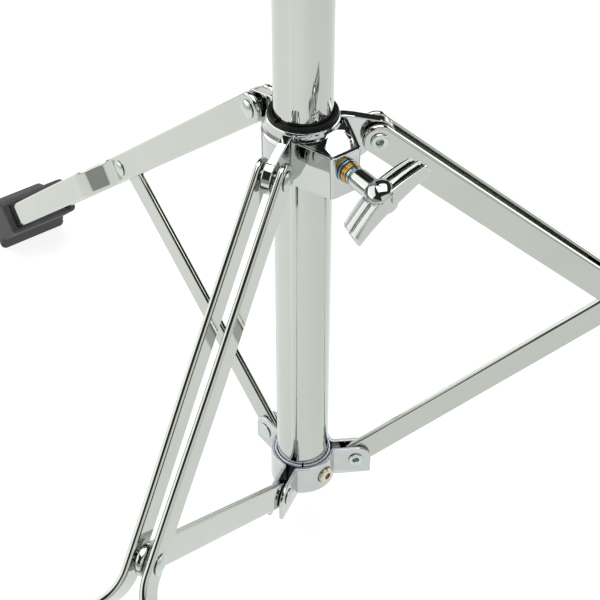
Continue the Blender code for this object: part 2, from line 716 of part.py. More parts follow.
def memory_lock(prefix, z, inner_r, parent, az):
    """A split ring with a square-headed key screw, set above a height clamp."""
    out = inner_r + 5.0
    lock = turned(prefix, ring(out, inner_r + GAP, z, z + 13.0, 0.8), CHROME, 20)
    place(lock, parent=parent)
    ears = flat(
        prefix + "_ears",
        [(inner_r + 2.2, -6.5), (out + 8.0, -6.5), (out + 9.0, -5.5), (out + 9.0, 5.5), (out + 8.0, 6.5), (inner_r + 2.2, 6.5)],
        11.0,
        collection=helpers,
    )
    place(ears, (0, 0, z + 6.5), (0, 0, az), parent)
    boolean(lock, ears, "UNION")
    slit = cube(prefix + "_slit", (inner_r - 4.0, -0.8, -10.0), (out + 12.0, 0.8, 10.0))
    place(slit, (0, 0, z + 6.5), (0, 0, az), parent)
    boolean(lock, slit)
    bore = cylinder(prefix + "_screw_bore", 2.8, -12, 12, 12)
    place(bore, around(az, out + 4.0, z + 6.5), (90, 0, az), parent)
    boolean(lock, bore)
    key = turned(
        prefix + "_screw",
        [(0, 10.6), (4.4, 10.6), (4.6, 10.2), (4.6, 6.8), (2.4, 6.8), (2.4, -7.6), (0, -7.6)],
        CHROME,
        12,
        closed=False,
    )
    place(key, around(az, out + 4.0, z + 6.5), (-90, 0, az), parent)
    square = cube(prefix + "_key_square", (-2.8, -2.8, 10.3), (2.8, 2.8, 15.6))
    place(square, around(az, out + 4.0, z + 6.5), (-90, 0, az), parent)
    boolean(key, square, "UNION")


bore_low = height_clamp("height_clamp", TUBE_Z1, TUBE_R, TUBE_WALL, MID_R, axis, BOLT_AZ, 1.0)
boolean(tube, bore_low)
memory_lock("lower_memory_lock", TUBE_Z1 + 9.2 - MID_Z0, MID_R, middle, 90.0)
bore_high = height_clamp("upper_clamp", MID_Z1 - MID_Z0, MID_R, MID_WALL, ROD_R, middle, BOLT_AZ, 0.92)
boolean(bpy.data.objects["middle_tube"], bore_high)
memory_lock("upper_memory_lock", MID_Z1 + 9.2 - ROD_Z0, ROD_R, top, 90.0)


# ------------------------------------------------------------------ tilter
TILT_Z = 1092.0
DISC_R, DISC_T, DISC_X = 12.0, 8.0, 4.3
disc_bore = cylinder("tilter_bore", BOLT_R + 0.4, -30, 30, 12)
place(disc_bore, (0, 0, TILT_Z - ROD_Z0), (0, 90, 0), top)

socket = turned(
    "tilter_base",
    [
        (0, 14.0),
        (8.5, 14.0),
        (11.0, 11.0),
        (11.0, -17.0),
        (10.2, -20.0),
        (ROD_R + GAP, -20.0),
        (ROD_R + GAP, GAP),
        (0, GAP),
    ],
    CHROME,
    20,
    closed=False,
)
place(socket, (0, 0, ROD_Z1 - ROD_Z0), parent=top)
low_disc = turned("tilter_low_disc", [(0, DISC_T / 2), (DISC_R - 0.8, DISC_T / 2), (DISC_R, DISC_T / 2 - 0.8), (DISC_R, -DISC_T / 2), (0, -DISC_T / 2)], None, 20, closed=False, collection=helpers)
place(low_disc, (-DISC_X, 0, TILT_Z - ROD_Z0), (0, -90, 0), top)
boolean(socket, low_disc, "UNION")
low_neck = cube("tilter_low_neck", (-DISC_X - DISC_T / 2 + 0.4, -7.0, -16.5), (-0.4, 7.0, -3.0))
place(low_neck, (0, 0, TILT_Z - ROD_Z0), parent=top)
boolean(socket, low_neck, "UNION")
boolean(socket, disc_bore)
nut = cylinder("tilter_nut", 7.4, -DISC_X - DISC_T / 2 - 6.0 - GAP, -DISC_X - DISC_T / 2 - GAP, 6, mat=ZINC, collection=parts)
place(nut, (0, 0, TILT_Z - ROD_Z0), (0, 90, 0), top)
boolean(nut, disc_bore)
wing_bolt("tilter_wing_bolt", -14.5, DISC_X + DISC_T / 2 + 0.5, 6.9, 19.0, top, (0, 0, TILT_Z - ROD_Z0), as_degrees(outward(0.0, 30.0)), 0.88)

head_pivot = empty("tilter_hinge", (0, 0, TILT_Z - ROD_Z0), parent=top)
head = turned("tilter_head", [(0, DISC_T / 2), (DISC_R - 0.8, DISC_T / 2), (DISC_R, DISC_T / 2 - 0.8), (DISC_R, -DISC_T / 2), (0, -DISC_T / 2)], CHROME, 20, closed=False)
place(head, (DISC_X, 0, 0), (0, 90, 0), head_pivot)
neck = cube("tilter_head_neck", (0.5, -6.5, 3.0), (DISC_X + DISC_T / 2 - 0.4, 6.5, 17.0))
place(neck, parent=head_pivot)
boolean(head, neck, "UNION")
post = turned(
    "tilter_head_post",
    [(0, 24.0), (8.4, 24.0), (9.4, 23.0), (9.4, 16.0), (7.6, 12.4), (0, 12.4)],
    None,
    20,
    closed=False,
    collection=helpers,
)
place(post, parent=head_pivot)
boolean(head, post, "UNION")
rod_bore = cylinder("rod_bore", BOLT_R + 0.4, 13.3, 30.0, 12)
place(rod_bore, parent=head_pivot)
boolean(head, rod_bore)
boolean(head, disc_bore)

place(turned("cymbal_rod", [(0, 92.0), (BOLT_R - 0.8, 92.0), (BOLT_R, 91.2), (BOLT_R, 13.6), (0, 13.6)], CHROME, 12, closed=False), parent=head_pivot)
place(turned("cup_washer", [(12.0, 26.4), (16.0, 29.4), (16.8, 29.0), (13.0, 24.4), (BOLT_R + 0.4, 24.4), (BOLT_R + 0.4, 26.4)], CHROME, 20), parent=head_pivot)
place(turned("cymbal_sleeve", [(6.2, 52.0), (6.2, 30.2), (11.2, 30.2), (11.2, 26.8), (BOLT_R + 0.4, 26.8), (BOLT_R + 0.4, 52.0)], NYLON, 16), parent=head_pivot)
place(turned("lower_felt", ring(19.0, 6.6, 30.6, 42.6, 1.4), FELT, 20), parent=head_pivot)
place(turned("upper_felt", ring(19.0, 6.6, 43.0, 55.0, 1.4), FELT, 20), parent=head_pivot)

nut_z = 55.4
wing_nut = turned(
    "cymbal_wing_nut",
    [(7.0, nut_z + 15.0), (8.0, nut_z + 13.0), (8.4, nut_z + 4.0), (11.5, nut_z + 2.0), (11.5, nut_z), (BOLT_R + 0.4, nut_z), (BOLT_R + 0.4, nut_z + 15.0)],
    CHROME,
    16,
)
place(wing_nut, parent=head_pivot)
wing_outline = [(5.6, nut_z + 5.0), (12.0, nut_z + 6.0), (19.0, nut_z + 11.5), (22.5, nut_z + 18.0), (21.0, nut_z + 21.0), (17.5, nut_z + 20.5), (11.0, nut_z + 14.5), (5.6, nut_z + 12.5)]
for k, sign in enumerate((1, -1)):
    blade = flat(f"wing_nut_blade_{k + 1}", [(x * sign, y) for x, y in (wing_outline if sign > 0 else wing_outline[::-1])], 4.4, collection=helpers)
    place(blade, turn=(90, 0, 0), parent=head_pivot)
    boolean(wing_nut, blade, "UNION")

for obj in helpers.objects:
    hide(obj)
bpy.context.view_layer.update()
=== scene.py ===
import math
import random

import bmesh
import bpy
from mathutils import Matrix, Vector
from mathutils.geometry import tessellate_polygon


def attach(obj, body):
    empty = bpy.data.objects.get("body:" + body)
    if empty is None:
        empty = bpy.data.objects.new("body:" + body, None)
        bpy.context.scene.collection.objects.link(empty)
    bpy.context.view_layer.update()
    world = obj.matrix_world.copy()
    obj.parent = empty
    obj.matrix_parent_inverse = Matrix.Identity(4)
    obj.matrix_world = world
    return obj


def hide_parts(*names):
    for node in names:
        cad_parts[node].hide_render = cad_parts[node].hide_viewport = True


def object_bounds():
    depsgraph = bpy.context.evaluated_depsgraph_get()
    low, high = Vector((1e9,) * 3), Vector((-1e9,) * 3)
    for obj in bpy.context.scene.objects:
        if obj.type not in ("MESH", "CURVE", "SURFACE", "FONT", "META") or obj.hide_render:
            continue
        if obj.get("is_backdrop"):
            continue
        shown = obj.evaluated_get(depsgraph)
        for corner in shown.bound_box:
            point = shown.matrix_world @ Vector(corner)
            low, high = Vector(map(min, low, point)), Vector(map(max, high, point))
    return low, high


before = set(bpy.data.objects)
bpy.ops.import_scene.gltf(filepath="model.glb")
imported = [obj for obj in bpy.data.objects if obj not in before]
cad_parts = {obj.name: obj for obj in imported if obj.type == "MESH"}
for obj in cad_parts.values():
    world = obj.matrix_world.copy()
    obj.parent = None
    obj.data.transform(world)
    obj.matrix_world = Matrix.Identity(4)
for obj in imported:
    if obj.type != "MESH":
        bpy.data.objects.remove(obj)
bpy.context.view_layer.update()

# ------------------------------------------------------------------ dimensions, millimetres
MM = 0.001
AXIS_Y = 80.3
LEG_AZ = (-90.0, 30.0, 150.0)
BOLT_AZ = -30.0
TUBE_R, TUBE_WALL, TUBE_Z0, TUBE_Z1 = 14.3, 1.5, 43.0, 500.0
MID_R, MID_WALL, MID_Z0, MID_Z1 = 11.1, 1.2, 130.0, 840.0
ROD_R, ROD_WALL, ROD_Z0, ROD_Z1 = 7.95, 1.5, 540.0, 1066.0
PIVOT_R, PIVOT_Z = 35.3, 270.1
LOWER_R, LOWER_Z = 29.8, 50.0
LEG_SLOPE = 39.95
LEG_TO_JOINT, LEG_END = 180.0, 408.0
BAR_W, BAR_T = 15.9, 3.6
BAR_HALF_TOP, BAR_HALF_JOINT, BAR_HALF_FOOT = 5.75, 5.2, 19.0
FLARE_START, FLARE_R, FLARE_DEG = 6.6, 23.0, 38.0
BRACE_W, BRACE_T = 15.8, 4.0
GAP = 0.3
ARM_T, ARM_END_R = 5.0, 8.3
COLLAR_R, COLLAR_BORE = 20.0, 16.2
COLLAR_Z0, COLLAR_TOP = -13.0, 13.2
FACE_D, FACE_HALF = 33.8, 7.9
ROOT_D, ROOT_HALF = 11.9, 15.8
SHEET = 2.0
CLAMP_SHEET_R, CLAMP_SHEET_T = 16.95, 2.2
LUG_HALF, LUG_TIP = 3.55, 38.5
PIN_R, BOLT_R = 2.7, 3.9
WING_TILT = 29.8
POCKET_DEG = 24.2
TILT_Z, DISC_R, DISC_T, DISC_X = 1092.0, 12.0, 8.0, 4.3
VIEW_AZ = 23.655  # the photo's view turned from looking along +Y

random.seed(7)


def rad(deg):
    return math.radians(deg)


# ------------------------------------------------------------------ materials
def node_tree(name):
    mat = bpy.data.materials.new(name)
    mat.use_nodes = True
    tree = mat.node_tree
    shader = tree.nodes["Principled BSDF"]
    return mat, tree, shader


def add(tree, kind, inputs=(), **props):
    node = tree.nodes.new(kind)
    for key, value in props.items():
        setattr(node, key, value)
    for key, value in dict(inputs).items():
        if hasattr(value, "is_output"):
            tree.links.new(value, node.inputs[key])
        else:
            node.inputs[key].default_value = value
    return node


def noise(tree, coords, scale, detail=4.0, rough=0.5):
    return add(tree, "ShaderNodeTexNoise", {"Vector": coords, "Scale": scale, "Detail": detail, "Roughness": rough})


def ramp(tree, factor, stops):
    node = add(tree, "ShaderNodeValToRGB", {"Fac": factor})
    elements = node.color_ramp.elements
    while len(elements) < len(stops):
        elements.new(0.5)
    for element, (at, value) in zip(elements, stops):
        element.position = at
        element.color = (*value, 1.0) if isinstance(value, tuple) else (value, value, value, 1.0)
    return node


def mixed(tree, factor, a, b, blend="MIX"):
    node = tree.nodes.new("ShaderNodeMix")
    node.data_type = "RGBA"
    node.blend_type = blend
    for socket, value in ((node.inputs[0], factor), (node.inputs[6], a), (node.inputs[7], b)):
        if hasattr(value, "is_output"):
            tree.links.new(value, socket)
        else:
            socket.default_value = value if isinstance(value, float) else (*value, 1.0)
    return node.outputs[2]


def metal(name, colour, dark, rough, spread=0.03, grain=0.00002, wear=(1.0, 1.0, 1.0), tint=None):
    """Plated metal: faint cloudy tone, fine smears in the roughness, a micro wave in the surface and polished edges."""
    mat, tree, shader = node_tree(name)
    coords = add(tree, "ShaderNodeTexCoord").outputs["Object"]
    cloud = noise(tree, coords, 38.0, 5.0, 0.55).outputs["Fac"]
    smear_map = add(tree, "ShaderNodeMapping", {"Vector": coords, "Scale": (160.0, 160.0, 34.0)}).outputs[0]
    smear = noise(tree, smear_map, 1.0, 6.0, 0.6).outputs["Fac"]
    base = ramp(tree, cloud, ((0.3, dark), (0.7, colour)))
    edge = add(tree, "ShaderNodeNewGeometry").outputs["Pointiness"]
    edge_mask = ramp(tree, edge, ((0.505, 0.0), (0.58, 1.0)))
    final = mixed(tree, edge_mask.outputs["Color"], base.outputs["Color"], tuple(min(1.0, c * w) for c, w in zip(colour, wear)))
    if tint:
        hue = noise(tree, coords, 130.0, 2.0, 0.5).outputs["Fac"]
        shade = ramp(tree, hue, tint)
        final = mixed(tree, 0.75, final, shade.outputs["Color"], "MULTIPLY")
    tree.links.new(final, shader.inputs["Base Color"])
    gloss = add(tree, "ShaderNodeMapRange", {"Value": smear, "From Min": 0.3, "From Max": 0.75, "To Min": rough, "To Max": rough + spread})
    tree.links.new(gloss.outputs[0], shader.inputs["Roughness"])
    wave = noise(tree, coords, 620.0, 3.0, 0.5).outputs["Fac"]
    bump = add(tree, "ShaderNodeBump", {"Height": wave, "Strength": 0.12, "Distance": grain})
    tree.links.new(bump.outputs[0], shader.inputs["Normal"])
    shader.inputs["Metallic"].default_value = 1.0
    return mat


def moulded(name, colour, light, rough, grain=900.0, strength=0.25, distance=0.00008, sheen=0.5):
    """Moulded nylon or rubber: fine grain, a dusty variation and paler rubbed edges."""
    mat, tree, shader = node_tree(name)
    coords = add(tree, "ShaderNodeTexCoord").outputs["Object"]
    cloud = noise(tree, coords, 90.0, 6.0, 0.6).outputs["Fac"]
    base = ramp(tree, cloud, ((0.35, colour), (0.75, light)))
    edge = add(tree, "ShaderNodeNewGeometry").outputs["Pointiness"]
    mask = ramp(tree, edge, ((0.51, 0.0), (0.6, 0.7)))
    final = mixed(tree, mask.outputs["Color"], base.outputs["Color"], tuple(min(1.0, c * 1.9 + 0.01) for c in light))
    tree.links.new(final, shader.inputs["Base Color"])
    gloss = add(tree, "ShaderNodeMapRange", {"Value": cloud, "To Min": rough - 0.08, "To Max": rough + 0.1})
    tree.links.new(gloss.outputs[0], shader.inputs["Roughness"])
    fine = noise(tree, coords, grain, 4.0, 0.6).outputs["Fac"]
    bump = add(tree, "ShaderNodeBump", {"Height": fine, "Strength": strength, "Distance": distance})
    tree.links.new(bump.outputs[0], shader.inputs["Normal"])
    shader.inputs["Specular IOR Level"].default_value = sheen
    return mat


def felted(name, colour, light):
    """Pressed felt: matted fibres, a soft sheen and pale flecks."""
    mat, tree, shader = node_tree(name)
    coords = add(tree, "ShaderNodeTexCoord").outputs["Object"]
    stretch = add(tree, "ShaderNodeMapping", {"Vector": coords, "Scale": (1.0, 1.0, 2.4)}).outputs[0]
    fibre = noise(tree, stretch, 1500.0, 8.0, 0.75).outputs["Fac"]
    tuft = noise(tree, stretch, 240.0, 5.0, 0.6).outputs["Fac"]
    base = ramp(tree, fibre, ((0.36, colour), (0.62, light)))
    shade = mixed(tree, tuft, base.outputs["Color"], tuple(c * 0.6 for c in colour))
    tree.links.new(shade, shader.inputs["Base Color"])
    total = add(tree, "ShaderNodeMath", {0: fibre, 1: tuft}, operation="ADD").outputs[0]
    bump = add(tree, "ShaderNodeBump", {"Height": total, "Strength": 0.9, "Distance": 0.0007})
    tree.links.new(bump.outputs[0], shader.inputs["Normal"])
    shader.inputs["Roughness"].default_value = 0.95
    shader.inputs["Sheen Weight"].default_value = 0.5
    shader.inputs["Sheen Roughness"].default_value = 0.5
    return mat


CHROME = metal("chrome_plate", (0.492, 0.517, 0.478), (0.470, 0.497, 0.458), 0.022, 0.022, wear=(1.12, 1.1, 1.15))
CHROME_CAST = metal("chrome_cast", (0.52, 0.54, 0.525), (0.49, 0.51, 0.495), 0.03, 0.035, grain=0.00005, wear=(1.1, 1.1, 1.12))
ZINC = metal(
    "bright_zinc", (0.58, 0.62, 0.59), (0.50, 0.57, 0.55), 0.22, 0.12, grain=0.00008,
    tint=((0.3, (0.95, 1.0, 0.96)), (0.5, (1.0, 1.0, 0.98)), (0.7, (0.92, 0.99, 1.0))),
)
BLUE_ZINC = metal(
    "blue_zinc", (0.40, 0.54, 0.60), (0.27, 0.42, 0.50), 0.18, 0.12, grain=0.00008,
    tint=((0.3, (0.8, 1.0, 0.95)), (0.6, (1.0, 1.0, 1.0))),
)
BRASS = metal("yellow_brass", (0.60, 0.38, 0.11), (0.38, 0.21, 0.05), 0.14, 0.12, grain=0.0001, wear=(1.15, 1.15, 1.3))
STEEL = metal("oiled_steel", (0.66, 0.62, 0.50), (0.52, 0.48, 0.38), 0.24, 0.15, grain=0.0001)
# painted shade: this near-black metal is used only on the outside of the clamp sleeve, to darken the slots between the
# clamp sheets
SLOT_SHADE_BLACK = metal("painted_slot_shade", (0.05, 0.05, 0.055), (0.03, 0.03, 0.033), 0.35, 0.2, grain=0.0001)
# rougher metal for the clamp sheets' top cut edges; its lavender tint is a painted reflection, standing in for the
# lavender-grey those upward edges reflect
CUT_EDGE_PAINTED_TINT = metal("cut_edge_painted_tint", (0.50, 0.51, 0.58), (0.41, 0.42, 0.49), 0.45, 0.14, grain=0.0001)
SATIN = metal("satin_ring", (0.66, 0.67, 0.76), (0.56, 0.57, 0.66), 0.50, 0.14, grain=0.0001)
BARE = metal("bare_steel", (0.42, 0.43, 0.42), (0.30, 0.31, 0.31), 0.30, 0.15, grain=0.0001)
NYLON = moulded("black_nylon", (0.003, 0.003, 0.0035), (0.009, 0.009, 0.010), 0.42, 700.0, 0.35, sheen=0.16)
RUBBER = moulded("black_rubber", (0.016, 0.016, 0.017), (0.035, 0.035, 0.037), 0.62, 520.0, 0.5, 0.00015)
FELT = felted("grey_felt", (0.045, 0.045, 0.05), (0.16, 0.16, 0.17))


# ------------------------------------------------------------------ mesh building
def soften(points, r=0.4, n=3, closed=True, skip=()):
    """The polyline with each corner turned into a small arc. r is a number, or one value per point."""
    out = []
    count = len(points)
    for i, p in enumerate(points):
        rr = r[i] if isinstance(r, (list, tuple)) else r
        if rr <= 0 or i in skip or (not closed and i in (0, count - 1)):
            out.append(p)
            continue
        a, b, c = Vector(points[i - 1]), Vector(p), Vector(points[(i + 1) % count])
        u, v = a - b, c - b
        lu, lv = u.length, v.length
        if lu < 1e-9 or lv < 1e-9:
            out.append(p)
            continue
        u, v = u / lu, v / lv
        cosine = max(-1.0, min(1.0, u.dot(v)))
        angle = math.acos(cosine)
        if angle > rad(176):
            out.append(p)
            continue
        cut = min(rr / math.tan(angle / 2), 0.46 * lu, 0.46 * lv)
        real = cut * math.tan(angle / 2)
        mid = (u + v).normalized() * (real / math.sin(angle / 2))
        centre = b + mid
        s, e = b + u * cut - centre, b + v * cut - centre
        sweep = math.pi - angle
        for k in range(n + 1):
            f = k / n
            w = (s * math.sin((1 - f) * sweep) + e * math.sin(f * sweep)) / math.sin(sweep)
            q = centre + w
            out.append((q.x, q.y))
    return out


def circle(x, y, r, count=48, start=0.0, sweep=360.0):
    whole = abs(sweep) >= 360.0
    steps = count if whole else count - 1
    return [(x + r * math.cos(rad(start + sweep * i / steps)), y + r * math.sin(rad(start + sweep * i / steps))) for i in range(count)]


def area(loop):
    return sum(a[0] * b[1] - b[0] * a[1] for a, b in zip(loop, loop[1:] + loop[:1])) / 2


def inset(loop, d):
    """The closed counter-clockwise loop moved inwards by d, vertex by vertex."""
    out = []
    n = len(loop)
    for i in range(n):
        a, b, c = Vector(loop[i - 1]), Vector(loop[i]), Vector(loop[(i + 1) % n])
        u, v = (b - a), (c - b)
        u = u.normalized() if u.length > 1e-9 else v.normalized()
        v = v.normalized() if v.length > 1e-9 else u
        nu, nv = Vector((-u.y, u.x)), Vector((-v.y, v.x))
        m = nu + nv
        m = m / max(0.35, m.dot(nu)) if m.length > 1e-6 else nu
        q = b + m * d
        out.append((q.x, q.y))
    return out


def plate_bm(outline, thickness, edge=0.5, holes=(), seg=3, hole_edge=0.3, squash=1.0):
    """A flat plate centred on Z with rounded edges, as rings of quads and triangulated caps."""
    bm = bmesh.new()
    half = thickness / 2

    def rings(loop, r, outer):
        loop = list(loop)
        if area(loop) < 0:
            loop.reverse()
        r = min(r, half * 0.98)
        levels = []
        for k in range(seg + 1):
            a = rad(90.0 * k / seg)
            levels.append((r * (squash if outer else 1.0) * (1 - math.sin(a)), half - r + r * math.cos(a)))
        sign = 1.0 if outer else -1.0
        stack = [(inset(loop, sign * d), z) for d, z in levels] + [(inset(loop, sign * d), -z) for d, z in reversed(levels)]
        rows = [[bm.verts.new((x * MM, y * MM, z * MM)) for x, y in pts] for pts, z in stack]
        n = len(loop)
        for a, b in zip(rows, rows[1:]):
            for i in range(n):
                j = (i + 1) % n
                quad = (a[i], b[i], b[j], a[j]) if outer else (a[i], a[j], b[j], b[i])
                bm.faces.new(quad)
        return rows[0], rows[-1]

    sets = [rings(outline, edge, True)] + [rings(h, hole_edge, False) for h in holes]
    for which in (0, 1):
        loops = [s[which] for s in sets]
        flatlist = [v for loop in loops for v in loop]
        for tri in tessellate_polygon([[v.co for v in loop] for loop in loops]):
            if len(set(tri)) < 3:
                continue
            try:
                bm.faces.new([flatlist[i] for i in tri])
            except ValueError:
                pass
    bmesh.ops.recalc_face_normals(bm, faces=bm.faces)
    return bm


def lathe_bm(profile, steps=96, closed=True, sweep=360.0):
    bm = bmesh.new()
    rows = []
    for r, z in profile:
        if r < 1e-6:
            rows.append([bm.verts.new((0, 0, z * MM))])
        else:
            rows.append([bm.verts.new((r * MM * math.cos(2 * math.pi * i / steps), r * MM * math.sin(2 * math.pi * i / steps), z * MM)) for i in range(steps)])
    pairs = list(zip(rows, rows[1:])) + ([(rows[-1], rows[0])] if closed else [])
    for a, b in pairs:
        if len(a) == 1 and len(b) == 1:
            continue
        for i in range(steps):
            j = (i + 1) % steps
            if len(a) == 1:
                bm.faces.new((a[0], b[i], b[j]))
            elif len(b) == 1:
                bm.faces.new((a[i], b[0], a[j]))
            else:
                bm.faces.new((a[i], b[i], b[j], a[j]))
    bmesh.ops.recalc_face_normals(bm, faces=bm.faces)
    return bm


def cut_across(bm, stations):
    for s in stations:
        bmesh.ops.bisect_plane(
            bm, geom=bm.verts[:] + bm.edges[:] + bm.faces[:], dist=1e-7, plane_co=(s * MM, 0, 0), plane_no=(1, 0, 0)
        )


def warp(bm, fn):
    for v in bm.verts:
        v.co = [c * MM for c in fn(v.co.x / MM, v.co.y / MM, v.co.z / MM)]
    bmesh.ops.recalc_face_normals(bm, faces=bm.faces)


def euler(turn):
    return Matrix.Rotation(rad(turn[2]), 4, "Z") @ Matrix.Rotation(rad(turn[1]), 4, "Y") @ Matrix.Rotation(rad(turn[0]), 4, "X")


def at(base, location=(0, 0, 0), turn=(0, 0, 0)):
    return base @ Matrix.Translation([c * MM for c in location]) @ euler(turn)


AXIS = Matrix.Translation((0, AXIS_Y * MM, 0))
CLAMP = at(AXIS, (0, 0, LOWER_Z))
COLLAR = at(AXIS, (0, 0, PIVOT_Z))
MIDDLE = at(AXIS, (0, 0, MID_Z0))
TOP = at(AXIS, (0, 0, ROD_Z0))
HEAD = at(AXIS, (0, 0, TILT_Z))


def around(az, r, z, t=0.0):
    c, s = math.cos(rad(az)), math.sin(rad(az))
    return (r * c - t * s, r * s + t * c, z)


def face_out(bm):
    """Turns a closed mesh right side out."""
    if bm.calc_volume(signed=True) < 0:
        bmesh.ops.reverse_faces(bm, faces=bm.faces[:])


def piece(name, bm, mat, matrix, body, nodes=(), angle=30.0, weighted=True):
    """Links the mesh as a shown piece, in place, riding a body and standing for CAD nodes."""
    mesh = bpy.data.meshes.new(name)
    bmesh.ops.remove_doubles(bm, verts=bm.verts, dist=2e-6)
    bmesh.ops.dissolve_degenerate(bm, edges=bm.edges[:], dist=1e-6)
    face_out(bm)
    bm.to_mesh(mesh)
    bm.free()
    mesh.materials.append(mat)
    mesh.shade_smooth()
    mesh.set_sharp_from_angle(angle=rad(angle))
    obj = bpy.data.objects.new(name, mesh)
    bpy.context.scene.collection.objects.link(obj)
    obj.matrix_world = matrix
    if weighted:
        mod = obj.modifiers.new("face_normals", "WEIGHTED_NORMAL")
        mod.keep_sharp = True
        mod.weight = 70
    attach(obj, body)
    if nodes:
        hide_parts(*([nodes] if isinstance(nodes, str) else nodes))
    return obj


def merge_bm(*items):
    """One bmesh of several, each optionally moved by a matrix: items are bm or (bm, matrix)."""
    out = bmesh.new()
    for item in items:
        bm, matrix = item if isinstance(item, tuple) else (item, Matrix.Identity(4))
        bm.transform(matrix)
        tmp = bpy.data.meshes.new("tmp")
        bm.to_mesh(tmp)
        bm.free()
        out.from_mesh(tmp)
        bpy.data.meshes.remove(tmp)
    return out


def boolean_bm(a, b, operation="DIFFERENCE"):
    """Exact boolean of two closed bmeshes given in the same frame, as a new bmesh."""
    objs = []
    for bm in (a, b):
        mesh = bpy.data.meshes.new("tmp")
        face_out(bm)
        bm.to_mesh(mesh)
        bm.free()
        obj = bpy.data.objects.new("tmp", mesh)
        bpy.context.scene.collection.objects.link(obj)
        objs.append(obj)
    mod = objs[0].modifiers.new("cut", "BOOLEAN")
    mod.operation = operation
    mod.solver = "EXACT"
    mod.object = objs[1]
    bpy.context.view_layer.update()
    graph = bpy.context.evaluated_depsgraph_get()
    mesh = bpy.data.meshes.new_from_object(objs[0].evaluated_get(graph))
    out = bmesh.new()
    out.from_mesh(mesh)
    bpy.data.meshes.remove(mesh)
    for obj in objs:
        data = obj.data
        bpy.data.objects.remove(obj)
        bpy.data.meshes.remove(data)
    return out


def cylinder_bm(r, z0, z1, steps=48, r1=None, chamfer=0.0):
    r1 = r if r1 is None else r1
    prof = [(0, z1), (r1 - chamfer, z1), (r1, z1 - chamfer), (r, z0 + chamfer), (r - chamfer, z0), (0, z0)] if chamfer else [(0, z1), (r1, z1), (r, z0), (0, z0)]
    return lathe_bm(prof, steps, closed=False)


def box_bm(low, high, edge=0.0, seg=2):
    bm = bmesh.new()
    bmesh.ops.create_cube(bm, size=1.0)
    for v in bm.verts:
        v.co = [((low[i] + high[i]) / 2 + v.co[i] * (high[i] - low[i])) * MM for i in range(3)]
    if edge:
        bmesh.ops.bevel(bm, geom=bm.edges[:], offset=edge * MM, segments=seg, profile=0.5, affect="EDGES")
    return bm


# ------------------------------------------------------------------ tubes
def tube_profile(outer, inner, z0, z1, edge=0.35):
    pts = [(outer, z1), (outer, z0), (inner, z0), (inner, z1)]
    return soften(pts, edge, 3)


def rings_between(profile, z_list):
    return profile


piece("base_tube_fine", lathe_bm(tube_profile(TUBE_R, TUBE_R - TUBE_WALL, TUBE_Z0, TUBE_Z1), 160), CHROME, AXIS, "base", "base_tube")
piece(
    "tube_end_plug_fine",
    lathe_bm([(0, 52)] + soften([(0, 52), (12.4, 52), (12.5, 50), (12.5, TUBE_Z0 - GAP), (TUBE_R - 0.05, TUBE_Z0 - GAP), (TUBE_R - 0.4, 40.2), (9.0, 40.2), (8.0, 41.0), (0, 41.0)], 0.4, 3, closed=False)[1:], 72, closed=False),
    RUBBER, AXIS, "base", "tube_end_plug",
)
piece("middle_tube_fine", lathe_bm(tube_profile(MID_R, MID_R - MID_WALL, 0, MID_Z1 - MID_Z0), 128), CHROME, MIDDLE, "middle", "middle_tube")
piece("top_tube_fine", lathe_bm(tube_profile(ROD_R, ROD_R - ROD_WALL, 0, ROD_Z1 - ROD_Z0), 96), CHROME, TOP, "top", "top_tube")


# ------------------------------------------------------------------ bent sheets
class Bend:
    """A plan path of straight runs and arcs, evaluated at a length along it, with its side direction."""

    def __init__(self, x, y, heading, parts, s0=0.0):
        self.parts = []
        s = s0
        for kind, a, b in parts:
            length = a if kind == "line" else abs(a * rad(b))
            self.parts.append((s, s + length, x, y, heading, kind, a, b))
            x, y, heading = self.step(x, y, heading, kind, a, b, length)
            s += length
        self.s0, self.s1 = s0, s

    @staticmethod
    def step(x, y, heading, kind, a, b, length):
        if kind == "line":
            return x + length * math.cos(heading), y + length * math.sin(heading), heading
        turn = math.copysign(length / a, b)
        side = math.copysign(1.0, b)
        cx, cy = x - a * side * math.sin(heading), y + a * side * math.cos(heading)
        h = heading + turn
        return cx + a * side * math.sin(h), cy - a * side * math.cos(h), h

    def point(self, s, n):
        part = self.parts[0]
        for p in self.parts:
            if s >= p[0] - 1e-9:
                part = p
        start, _, x, y, heading, kind, a, b = part
        if part is self.parts[0] and s < start:
            px, py, h = x + (s - start) * math.cos(heading), y + (s - start) * math.sin(heading), heading
        else:
            px, py, h = self.step(x, y, heading, kind, a, b, s - start)
        return px - n * math.sin(h), py + n * math.cos(h)

    def stations(self, degrees=5.0, extra=()):
        out = list(extra)
        for start, end, _, _, _, kind, a, b in self.parts:
            if kind == "arc":
                steps = max(2, int(abs(b) / degrees))
                out += [start + (end - start) * k / steps for k in range(steps + 1)]
        return sorted(out)


flare_line = 0.0
_rise = FLARE_R * (1 - math.cos(rad(FLARE_DEG)))
_run = (BAR_HALF_FOOT - BAR_HALF_JOINT - 2 * _rise)
flare_line = _run / math.sin(rad(FLARE_DEG))
flare_x_end = LEG_TO_JOINT + FLARE_START + 2 * FLARE_R * math.sin(rad(FLARE_DEG)) + _run / math.tan(rad(FLARE_DEG))
bar_bend = Bend(
    LEG_TO_JOINT + FLARE_START, BAR_HALF_JOINT, 0.0,
    [("arc", FLARE_R, FLARE_DEG), ("line", flare_line, 0), ("arc", FLARE_R, -FLARE_DEG), ("line", LEG_END - flare_x_end, 0)],
    s0=LEG_TO_JOINT + FLARE_START,
)


def bar_point(s, w, n, side):
    if s < LEG_TO_JOINT + FLARE_START:
        f = min(1.0, max(0.0, (s - 90.0) / 78.0))
        f = f * f * (3 - 2 * f)
        x, y = s, BAR_HALF_TOP + (BAR_HALF_JOINT - BAR_HALF_TOP) * f + n
    else:
        x, y = bar_bend.point(s, n)
    return (x, y * side, w)


